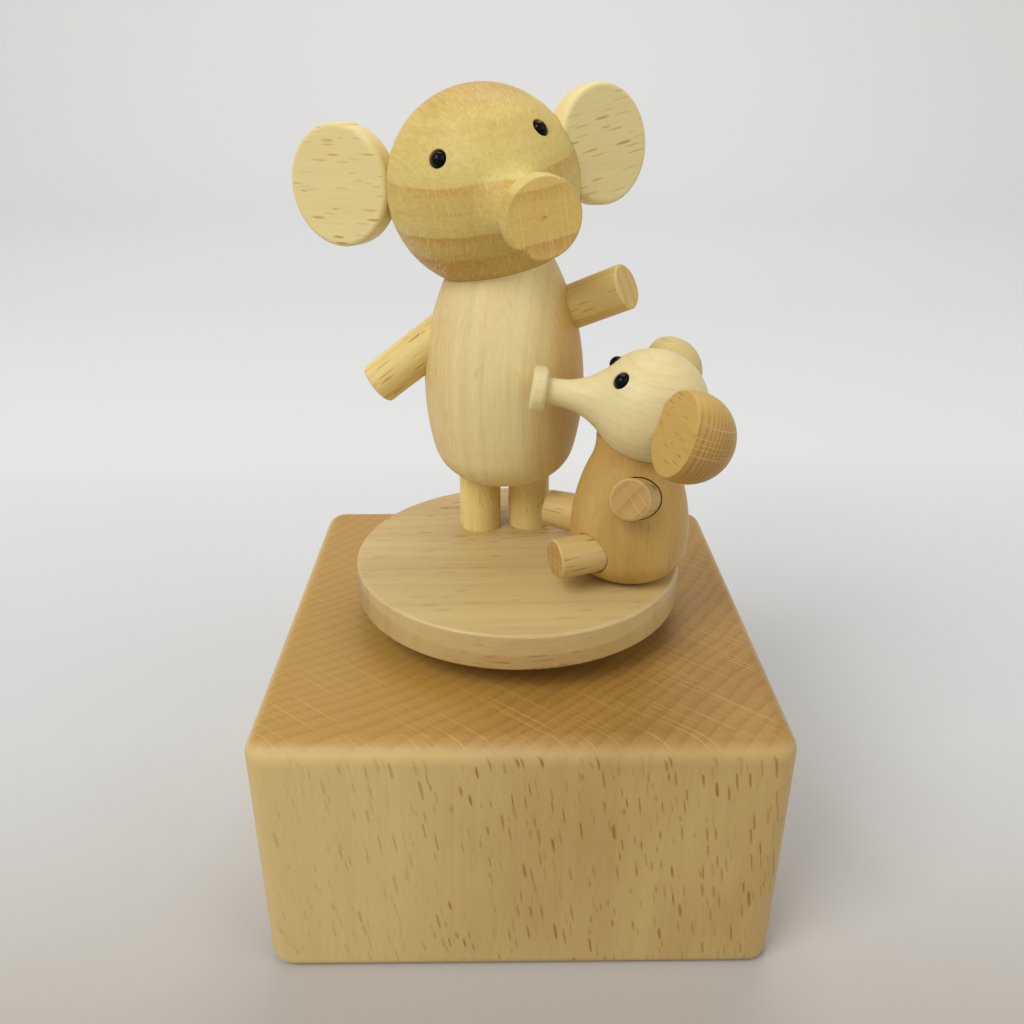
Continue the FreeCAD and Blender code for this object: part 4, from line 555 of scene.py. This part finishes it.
# Darker towards both sides: partly the wood's golden tone, partly painted shade where the round
# sides turn from the light.
body_tone_and_side_shade = ((-11, 0.50), (-9, 0.34), (-6, 0.12), (-1, 0.0), (4, 0.04), (7, 0.2), (9, 0.45),
               (11, 0.6))
dress("elephant_body", beech_material(
    "large_body_beech", middle=(-1.8, 9.2, 68), fibre=(0, 0, 1), outward_way=(1, -0.1, 0),
    colours=body_shades, tone_and_painted_light=body_tone_and_side_shade, ring_width=2.4, ring_strength=0.08, band_width=9.0,
    band_strength=0.15, streak_strength=0.45, fleck_strength=0.15, pith=30.0, seed=31.0,
    end_strength=0.4))
print("large body:", len(body_tone_and_side_shade), "levels from side to side")

# %% Dress the large head
head_shades = shades(pale=(215, 196, 116), dark=(176, 112, 22), fleck=(232, 202, 126),
                     end=(232, 196, 112), end_dark=(166, 118, 48), end_ray=(244, 218, 150))
head_layers = ((-12.5, 0.52), (-8, 0.54), (-5.75, 0.52), (-5.6, 0.30), (-4.4, 0.24),
               (-2.6, 0.48), (-2.4, 0.12), (0.1, 0.12), (0.35, 0.22), (0.65, 0.14), (1.7, 0.14),
               (3.3, 0.36), (3.5, 0.06), (5.5, 0.08), (5.9, 0.13), (6.2, 0.05), (8.4, 0.08),
               (8.9, 0.18), (9.4, 0.18), (9.6, 0.14), (10.4, 0.26), (11.2, 0.38), (12.5, 0.46))
dress("elephant_head", beech_material(
    "large_head_beech", HEAD_MIDDLE, fibre=TRUNK_WAY, outward_way=(-0.15, -0.13, 0.98),
    colours=head_shades, tone_and_painted_light=head_layers, ring_width=2.96, ring_strength=0.0, band_width=5.0,
    band_strength=0.12, streak_strength=0.7, fleck_strength=0.9, fleck_length=0.9,
    fleck_width=0.055, fleck_spacing=0.3, fleck_fade=4.0, fleck_follow=0.75, ray_reach=1.5,
    pith=80.0, seed=41.0, end_strength=0.9, end_from=0.985, end_rings=0.0, end_rays=0.5,
    end_ray_spacing=0.5))
print("large head:", len(head_layers), "levels from chin to crown")

# %% [markdown]
# ## The large elephant's ears and limbs
#
# The ears are discs sliced from a board, pale with thin brown dashes that lie level across them.
# Arms and legs are cut from dowel, so their dashes and streaks run along them. Four arms and
# legs could share one material, but they point in four directions. So a loop gives each its own
# fibre, and a seed of its own so that no two look alike.

# %% Dress the large ears
ear_shades = shades(pale=(231, 214, 152), dark=(206, 178, 112), fleck=(192, 154, 82),
                    end=(206, 180, 122), end_dark=(176, 140, 80), end_ray=(222, 198, 142))
LARGE_EARS = (("elephant_right_ear", pointing(242, 1), 0.0, 51.0),
              ("elephant_left_ear", pointing(306.6, 6), 0.17, 57.0))
for name, facing_way, rise, seed in LARGE_EARS:
    level_way = Vector((0, 0, 1)).cross(facing_way) + Vector((0, 0, rise))
    dress(name, beech_material(
        name + "_beech", middle_of(name), fibre=level_way, outward_way=facing_way,
        colours=ear_shades, ring_width=2.0, ring_strength=0.1, band_strength=0.2,
        streak_strength=0.4, fleck_strength=0.85, fleck_length=2.3, fleck_width=0.17,
        fleck_spacing=0.8, seed=seed, end_strength=0.5))
    print(name, "has its fibre along", [round(v, 2) for v in level_way])

# %% Dress the large arms and legs
limb_shades = shades(pale=(232, 209, 136), dark=(200, 152, 62), fleck=(168, 124, 56),
                     end=(204, 168, 100), end_dark=(170, 128, 64), end_ray=(220, 190, 128))
LARGE_LIMBS = (("elephant_right_arm", pointing(180, -37.3)),
               ("elephant_left_arm", pointing(-30, 24.4)),
               ("elephant_right_leg", (0, 0, 1)), ("elephant_left_leg", (0, 0, 1)))
for number, (name, way) in enumerate(LARGE_LIMBS):
    dress(name, beech_material(
        name + "_beech", middle_of(name), fibre=way, outward_way=(0.2, -1, 0.3),
        colours=limb_shades, ring_width=1.8, ring_strength=0.15, band_strength=0.3,
        streak_strength=0.6, fleck_strength=0.65, fleck_length=1.8, fleck_width=0.11,
        fleck_spacing=0.7, seed=61.0 + 7 * number, end_strength=0.6))
print("large arms and legs:", len(LARGE_LIMBS))

# %% [markdown]
# ## The small elephant's body and head
#
# The small body is the most golden piece, darker in the middle of its front: partly the wood's
# tone, partly a painted shadow of its arm. The small head is the palest, with thin curved growth
# lines along the trunk. Both are turned like the large ones.
# They could take the large ones' finishes, but the two animals are clearly cut from different
# boards. So only the way of laying the fibre is the same, and the shades are their own.

# %% Dress the small body and head
small_body_shades = shades(pale=(200, 163, 91), dark=(144, 102, 38), fleck=(140, 98, 42),
                           end=(196, 162, 90), end_dark=(160, 118, 50), end_ray=(212, 182, 118))
# Darker in the middle of the front: partly the wood's tone, partly a painted shadow of the arm.
small_body_tone_and_arm_shadow = ((-7, 0.04), (-4, 0.08), (-1, 0.28), (1.5, 0.36), (4, 0.14), (7, 0.0))
dress("calf_body", beech_material(
    "small_body_beech", middle=(14.8, -5.2, 53), fibre=(0, 0, 1), outward_way=(-0.3, -1, 0),
    colours=small_body_shades, tone_and_painted_light=small_body_tone_and_arm_shadow, across="Y", ring_width=2.2,
    ring_strength=0.05, band_width=8.0, band_strength=0.15, streak_strength=0.45,
    fleck_strength=0.25, fleck_width=0.08, fleck_spacing=0.6, pith=60.0, seed=91.0,
    end_strength=0.4))
small_head_shades = shades(pale=(223, 208, 156), dark=(188, 156, 86), fleck=(190, 158, 100),
                           end=(222, 204, 148), end_dark=(196, 168, 108), end_ray=(234, 220, 172))
dress("calf_head", beech_material(
    "small_head_beech", middle=(16.5, -6, 67.3), fibre=pointing(176.3, 8),
    outward_way=(0.1, -0.1, 1), colours=small_head_shades, ring_width=1.2, ring_strength=0.10,
    band_width=6.0, band_strength=0.12, streak_strength=0.5, fleck_strength=0.25,
    fleck_width=0.06, fleck_spacing=0.5, pith=60.0, seed=97.0, end_strength=0.3))
print("small body:", len(small_body_tone_and_arm_shadow), "levels from side to side")

# %% [markdown]
# ## The small elephant's ears and limbs
#
# Its ears are wooden balls with one flat face. The flat face is long grain with small dashes,
# and the round side is cut across the fibre nearly everywhere else, so it shows close rings and
# pale rays as a fine mesh. That mesh could be a picture wrapped round the ball, but a wrapped
# picture is pinched somewhere, and wood made in space is not. Arms and legs are dowel, with end
# grain on their flat ends.

# %% Dress the small ears
near_ear_shades = shades(pale=(200, 166, 92), dark=(162, 120, 54), fleck=(140, 98, 40),
                         end=(182, 142, 76), end_dark=(150, 108, 48), end_ray=(212, 178, 114))
far_ear_shades = shades(pale=(212, 192, 130), dark=(184, 152, 90), fleck=(160, 120, 60),
                        end=(196, 164, 100), end_dark=(166, 128, 64), end_ray=(216, 188, 128))
SMALL_EARS = (("calf_left_ear", pointing(193.4, 18.2), near_ear_shades, 103.0),
              ("calf_right_ear", pointing(140.9, 5.3), far_ear_shades, 107.0))
for name, facing_way, ear_colours, seed in SMALL_EARS:
    level_way = Vector((0, 0, 1)).cross(facing_way)
    dress(name, beech_material(
        name + "_beech", middle_of(name), fibre=level_way, outward_way=facing_way,
        colours=ear_colours, ring_width=0.62, ring_strength=0.08, band_strength=0.15,
        streak_strength=0.4, fleck_strength=0.7, fleck_length=1.1, fleck_width=0.10,
        fleck_spacing=0.6, seed=seed, end_from=0.3, end_rings=0.75, end_rays=1.2,
        end_ray_spacing=0.55))
    print(name, "has its fibre along", [round(v, 2) for v in level_way])

# %% Dress the small arms and legs
small_limb_shades = shades(pale=(206, 176, 112), dark=(172, 136, 74), fleck=(138, 98, 46),
                           end=(180, 142, 80), end_dark=(150, 110, 52), end_ray=(212, 178, 118))
SMALL_LIMBS = (("calf_left_arm", pointing(245, 20)), ("calf_right_arm", pointing(107, 20)),
               ("calf_left_leg", pointing(200.2, 0)), ("calf_right_leg", pointing(148.5, 0)))
for number, (name, way) in enumerate(SMALL_LIMBS):
    dress(name, beech_material(
        name + "_beech", middle_of(name), fibre=way,
        outward_way=(-0.8, 0.3, 1) if "arm" in name else (0.2, -1, 0.15),
        colours=small_limb_shades, ring_width=1.5, ring_strength=0.1, band_strength=0.2,
        streak_strength=0.5, fleck_strength=1.0, fleck_length=2.2, fleck_width=0.13,
        fleck_spacing=0.8, seed=121.0 + 7 * number, end_strength=0.9, end_rays=0.8,
        end_ray_spacing=0.5))
print("small arms and legs:", len(SMALL_LIMBS))

# %% [markdown]
# ## Small marks of making and use
#
# The end of the large trunk has a small chip in its edge and the dent of the lathe's centre, and
# the holes for the small one's arms and legs are a little wide at the mouth, so a dark line shows
# round each. Such marks could be painted on, but cut ones catch the light from every side. So the
# large head and the small body are copied, and small cutters are taken out of the copies.

# %% Make a cutter


def ring_of(middle, way, radius, count=48):
    """Points of a circle about a direction."""
    way = Vector(way).normalized()
    side = way.orthogonal().normalized()
    up = way.cross(side)
    turns = [2 * math.pi * i / count for i in range(count)]
    return [Vector(middle) + radius * (math.cos(t) * side + math.sin(t) * up) for t in turns]


def added(name, mesh):
    """A new object with a mesh, in the scene."""
    made = bpy.data.objects.new(name, mesh)
    scene.collection.objects.link(made)
    return made


def cutter(name, outline, depth_way):
    """A prism: an outline of points in mm, pushed along one direction."""
    count = len(outline)
    verts = [p * MM for p in outline] + [(p + depth_way) * MM for p in outline]
    faces = [list(range(count))[::-1], list(range(count, 2 * count))]
    faces += [(i, (i + 1) % count, count + (i + 1) % count, count + i) for i in range(count)]
    mesh = bpy.data.meshes.new(name)
    mesh.from_pydata(verts, [], faces)
    shape = bmesh.new()
    shape.from_mesh(mesh)
    bmesh.ops.recalc_face_normals(shape, faces=shape.faces)
    shape.to_mesh(mesh)
    shape.free()
    return added(name, mesh)


print("points on a cutter's circle:", len(ring_of((0, 0, 0), (0, 0, 1), 1.0)))

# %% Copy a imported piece
MERGE_DISTANCE = 0.000001


def merged_copy(node, name):
    """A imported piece's mesh again, with its loose triangles joined."""
    shape = bmesh.new()
    shape.from_mesh(nodes[node].data)
    bmesh.ops.remove_doubles(shape, verts=shape.verts, dist=MERGE_DISTANCE)
    shape.verts.index_update()
    corners = [v.co for v in shape.verts]
    mesh = bpy.data.meshes.new(name)
    mesh.from_pydata(corners, [], [[v.index for v in face.verts] for face in shape.faces])
    shape.free()
    return added(name, mesh)


print("corners closer than", round(MERGE_DISTANCE / MM, 4), "mm are joined")

# %% Take cutters out of a copy
SHARP_ANGLE = math.radians(32)


def carve(node, name, cutters, body):
    """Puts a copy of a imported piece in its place, with the cutters taken out of it."""
    copy = merged_copy(node, name)
    for tool in cutters:
        cut = copy.modifiers.new(tool.name, "BOOLEAN")
        cut.operation, cut.solver, cut.object = "DIFFERENCE", "EXACT", tool
    whole = copy.evaluated_get(bpy.context.evaluated_depsgraph_get())
    carved = bpy.data.meshes.new_from_object(whole)
    copy.modifiers.clear()
    copy.data = carved
    for tool in cutters:
        bpy.data.objects.remove(tool)
    carved.materials.clear()
    carved.materials.append(nodes[node].data.materials[0])
    carved.shade_smooth()
    carved.set_sharp_from_angle(angle=SHARP_ANGLE)
    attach(copy, body)
    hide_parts(node)
    print(name, len(carved.polygons), "faces after", len(cutters), "cuts")


print("edges of more than", round(math.degrees(SHARP_ANGLE)), "degrees stay sharp")

# %% Chip the trunk's edge and mark its middle
TRUNK_LENGTH = 20.0
CHIP = ((-4.7, -3.05), (-3.2, -3.25), (-2.3, -3.25), (-1.85, -3.6), (-1.5, -4.1), (-0.9, -4.6),
        (-1.0, -5.6), (-4.7, -5.6))
CHIP_OUTSIDE, CHIP_DEPTH = 0.5, 2.7
DENT_OUTSIDE, DENT_DEPTH, DENT_RADIUS, DENT_SIDES, DENT_ASIDE = 0.3, 0.1, 0.38, 9, 0.1
trunk_end = HEAD_MIDDLE + TRUNK_LENGTH * TRUNK_WAY
end_up = (Vector((0, 0, 1)) - TRUNK_WAY * TRUNK_WAY.z).normalized()
end_right = end_up.cross(TRUNK_WAY)
chip_start = trunk_end + CHIP_OUTSIDE * TRUNK_WAY
chip = cutter("chip", [chip_start + x * end_right + y * end_up for x, y in CHIP],
              -(CHIP_OUTSIDE + CHIP_DEPTH) * TRUNK_WAY)
dent_middle = trunk_end + DENT_OUTSIDE * TRUNK_WAY - DENT_ASIDE * end_right
dent = cutter("dent", ring_of(dent_middle, TRUNK_WAY, DENT_RADIUS, DENT_SIDES),
              -(DENT_OUTSIDE + DENT_DEPTH) * TRUNK_WAY)
carve("elephant_head", "elephant_head_worn", [chip, dent], "turntable")

# %% Widen the mouths of the small one's arm and leg holes
SMALL_LIMB_RADIUS, LOOSE_FIT = 2.6, 0.11
MOUTH_START, MOUTH_LENGTH = 2.2, 6.0
# Each hole's middle lies a little to one side of its limb, in mm.
ASIDE = {"calf_left_arm": (0.07, 0, 0.04), "calf_left_leg": (0.06, 0, -0.02),
         "calf_right_arm": (0.0, 0, 0.04), "calf_right_leg": (0.0, 0, 0.04)}
mouths = []
for name, way in SMALL_LIMBS:
    start = middle_of(name) + Vector(ASIDE[name]) - MOUTH_START * way
    mouths.append(cutter("mouth_" + name, ring_of(start, way, SMALL_LIMB_RADIUS + LOOSE_FIT),
                         MOUTH_LENGTH * way))
carve("calf_body", "calf_body_worn", mouths, "turntable")

# %% [markdown]
# ## Eyes and metal
#
# The eyes are black glass-like beads. The metal parts of the movement are hidden in the block,
# but they are real pieces and get real finishes. The fine lines of a turned or ground surface
# could be modelled, but they are thinner than a hair. So a stretched noise makes them, in the
# colour, in the roughness and as a very shallow bump.

# %% Make a bead or metal finish
LINE_DEPTH, LINE_STRENGTH = 0.00001, 0.3
LINE_SHADE = 0.75
LINE_DULLER = 0.3


def plain_material(name, colour, metallic, rough, line_scale, shine=0.5):
    """A bead or metal finish with fine lines or specks in its colour and roughness."""
    material = bpy.data.materials.new(name)
    material.use_nodes = True
    tree = material.node_tree
    place = vectors(tree, "MULTIPLY", add(tree, "ShaderNodeTexCoord").outputs["Object"],
                    tuple(v / MM for v in line_scale))
    lines = noise(tree, place, 3.0).outputs["Fac"]
    darker = tuple(LINE_SHADE * v for v in colour[:3]) + (1.0,)
    dullness = ramp(tree, lines, 0.2, 0.8, rough * (1 - LINE_DULLER), rough * (1 + LINE_DULLER))
    bump = add(tree, "ShaderNodeBump", {
        "Height": lines, "Distance": LINE_DEPTH, "Strength": LINE_STRENGTH})
    shader = tree.nodes["Principled BSDF"]
    for label, value in (("Base Color", blended(tree, lines, darker, colour)),
                         ("Roughness", dullness), ("Normal", bump.outputs[0]),
                         ("Metallic", metallic), ("Specular IOR Level", shine)):
        plug(tree, value, shader.inputs[label])
    return material


print("metal lines:", round(LINE_DEPTH / MM, 3), "mm deep")

# %% Dress the eyes and the movement
finishes = {
    "bead": plain_material("bead", paint(4, 4, 4), 0.0, 0.05, (0.5, 0.5, 0.5), shine=0.12),
    "casting": plain_material("casting", paint(168, 169, 171), 0.9, 0.55, (2.0, 2.0, 2.0)),
    "steel": plain_material("ground_steel", paint(190, 190, 192), 1.0, 0.30, (8.0, 8.0, 0.6)),
    "spring_steel": plain_material(
        "blued_steel", paint(120, 124, 136), 1.0, 0.28, (0.6, 0.6, 9.0)),
    "brass": plain_material("turned_brass", paint(214, 176, 98), 1.0, 0.30, (9.0, 0.8, 0.8)),
    "fly_plastic": plain_material(
        "moulded_plastic", paint(40, 40, 42), 0.0, 0.5, (3.0, 3.0, 3.0)),
}
finished = [entry for entry in frame["record"]["subparts"] if entry["material_slot"] in finishes]
for entry in finished:
    dress(entry["node"], finishes[entry["material_slot"]])
print("beads, metals and plastic on", len(finished), "pieces")

# %% [markdown]
# ## The paper
#
# The object stands on pale studio paper that curves up behind it. A flat floor and a wall would
# meet in a line, so one sheet with a round bend is built. In the photograph the paper is warm
# grey in front and near white at the back. More light at the back would also change the object,
# so the paper's own colour carries that change.

# %% Build the paper sweep


def sweep(width, front, back, height, radius, steps):
    """A floor that curves up into a backdrop, as one mesh."""
    line = [(front, 0.0), (back - radius, 0.0)]
    for step in range(1, steps + 1):
        turn = math.pi / 2 * step / steps
        line.append((back - radius + radius * math.sin(turn), radius - radius * math.cos(turn)))
    line.append((back, height))
    verts = [(side * width, y, z) for y, z in line for side in (-1, 1)]
    faces = [(2 * i, 2 * i + 1, 2 * i + 3, 2 * i + 2) for i in range(len(line) - 1)]
    mesh = bpy.data.meshes.new("sweep")
    mesh.from_pydata(verts, [], faces)
    for face in mesh.polygons:
        face.use_smooth = True
    return added("sweep", mesh)


floor = sweep(width=3.0, front=-2.0, back=1.2, height=2.5, radius=0.5, steps=24)
print("sweep faces:", len(floor.data.polygons))

# %% Colour the paper from warm grey in front to near white at the back
PAPER = ((-0.040, (179, 174, 166)), (-0.012, (195, 194, 192)), (0.013, (203, 203, 203)),
         (0.123, (215, 217, 218)), (0.144, (221, 222, 223)), (0.368, (222, 223, 225)),
         (1.083, (252, 253, 253)))
PAPER_ROUGHNESS = 0.9
first_tone, paper_depth = PAPER[0][0], PAPER[-1][0] - PAPER[0][0]
paper = bpy.data.materials.new("studio_paper")
paper.use_nodes = True
tree = paper.node_tree
to_the_back = parts(tree, add(tree, "ShaderNodeTexCoord").outputs["Object"])["Y"]
share = sums(tree, "DIVIDE", sums(tree, "SUBTRACT", to_the_back, first_tone), paper_depth,
             clamp=True)
stops = [((at - first_tone) / paper_depth, paint(*tone)) for at, tone in PAPER]
shader = tree.nodes["Principled BSDF"]
plug(tree, colour_ramp(tree, share, stops), shader.inputs["Base Color"])
plug(tree, PAPER_ROUGHNESS, shader.inputs["Roughness"])
floor.data.materials.append(paper)
print("paper tones:", len(PAPER))

# %% [markdown]
# ## The light
#
# The photograph was lit by a large soft lamp high at the front left, with weaker light from
# above and from the right, and its shadows are soft and a little warm. One strong lamp would
# give hard shadows, and an even sky alone none. So three square lamps and a dim warm sky share
# the work. What the camera and the glossy reflections see behind the paper is a plain pale grey
# in place of that dim sky.

# %% Hang three soft lamps
LAMPS = (("key", (-0.50, -0.45, 0.75), 0.5, 5.4), ("overhead", (0.08, 0.43, 0.92), 0.5, 2.4),
         ("fill", (0.7, -0.4, 0.5), 0.6, 1.6))
for name, place, width, power in LAMPS:
    lamp = added(name, bpy.data.lights.new(name, "AREA"))
    lamp.data.size = width
    lamp.data.energy = power
    lamp.location = place
    lamp.rotation_mode = "QUATERNION"
    lamp.rotation_quaternion = (BOX_MIDDLE - Vector(place)).to_track_quat("-Z", "Y")
    print(name, "lamp:", power, "W at", round((Vector(place) - BOX_MIDDLE).length, 2), "m")

# %% Set the sky
SKY_COLOUR, SKY_STRENGTH = (1.0, 0.97, 0.93, 1.0), 0.46
SEEN_SKY = paint(222, 222, 222)
scene.world = bpy.data.worlds.new("sky")
scene.world.use_nodes = True
tree = scene.world.node_tree
sky = tree.nodes["Background"]
plug(tree, SKY_COLOUR, sky.inputs["Color"])
plug(tree, SKY_STRENGTH, sky.inputs["Strength"])
seen = add(tree, "ShaderNodeBackground", {"Color": SEEN_SKY, "Strength": 1.0})
rays = add(tree, "ShaderNodeLightPath").outputs
mirrored = sums(tree, "MAXIMUM", rays["Is Glossy Ray"], rays["Is Transmission Ray"])
seen_by = sums(tree, "MAXIMUM", rays["Is Camera Ray"], mirrored)
both = add(tree, "ShaderNodeMixShader", {0: seen_by, 1: sky.outputs[0], 2: seen.outputs[0]})
plug(tree, both.outputs[0], tree.nodes["World Output"].inputs["Surface"])
scene.view_settings.view_transform = "Standard"
print("sky strength:", SKY_STRENGTH)
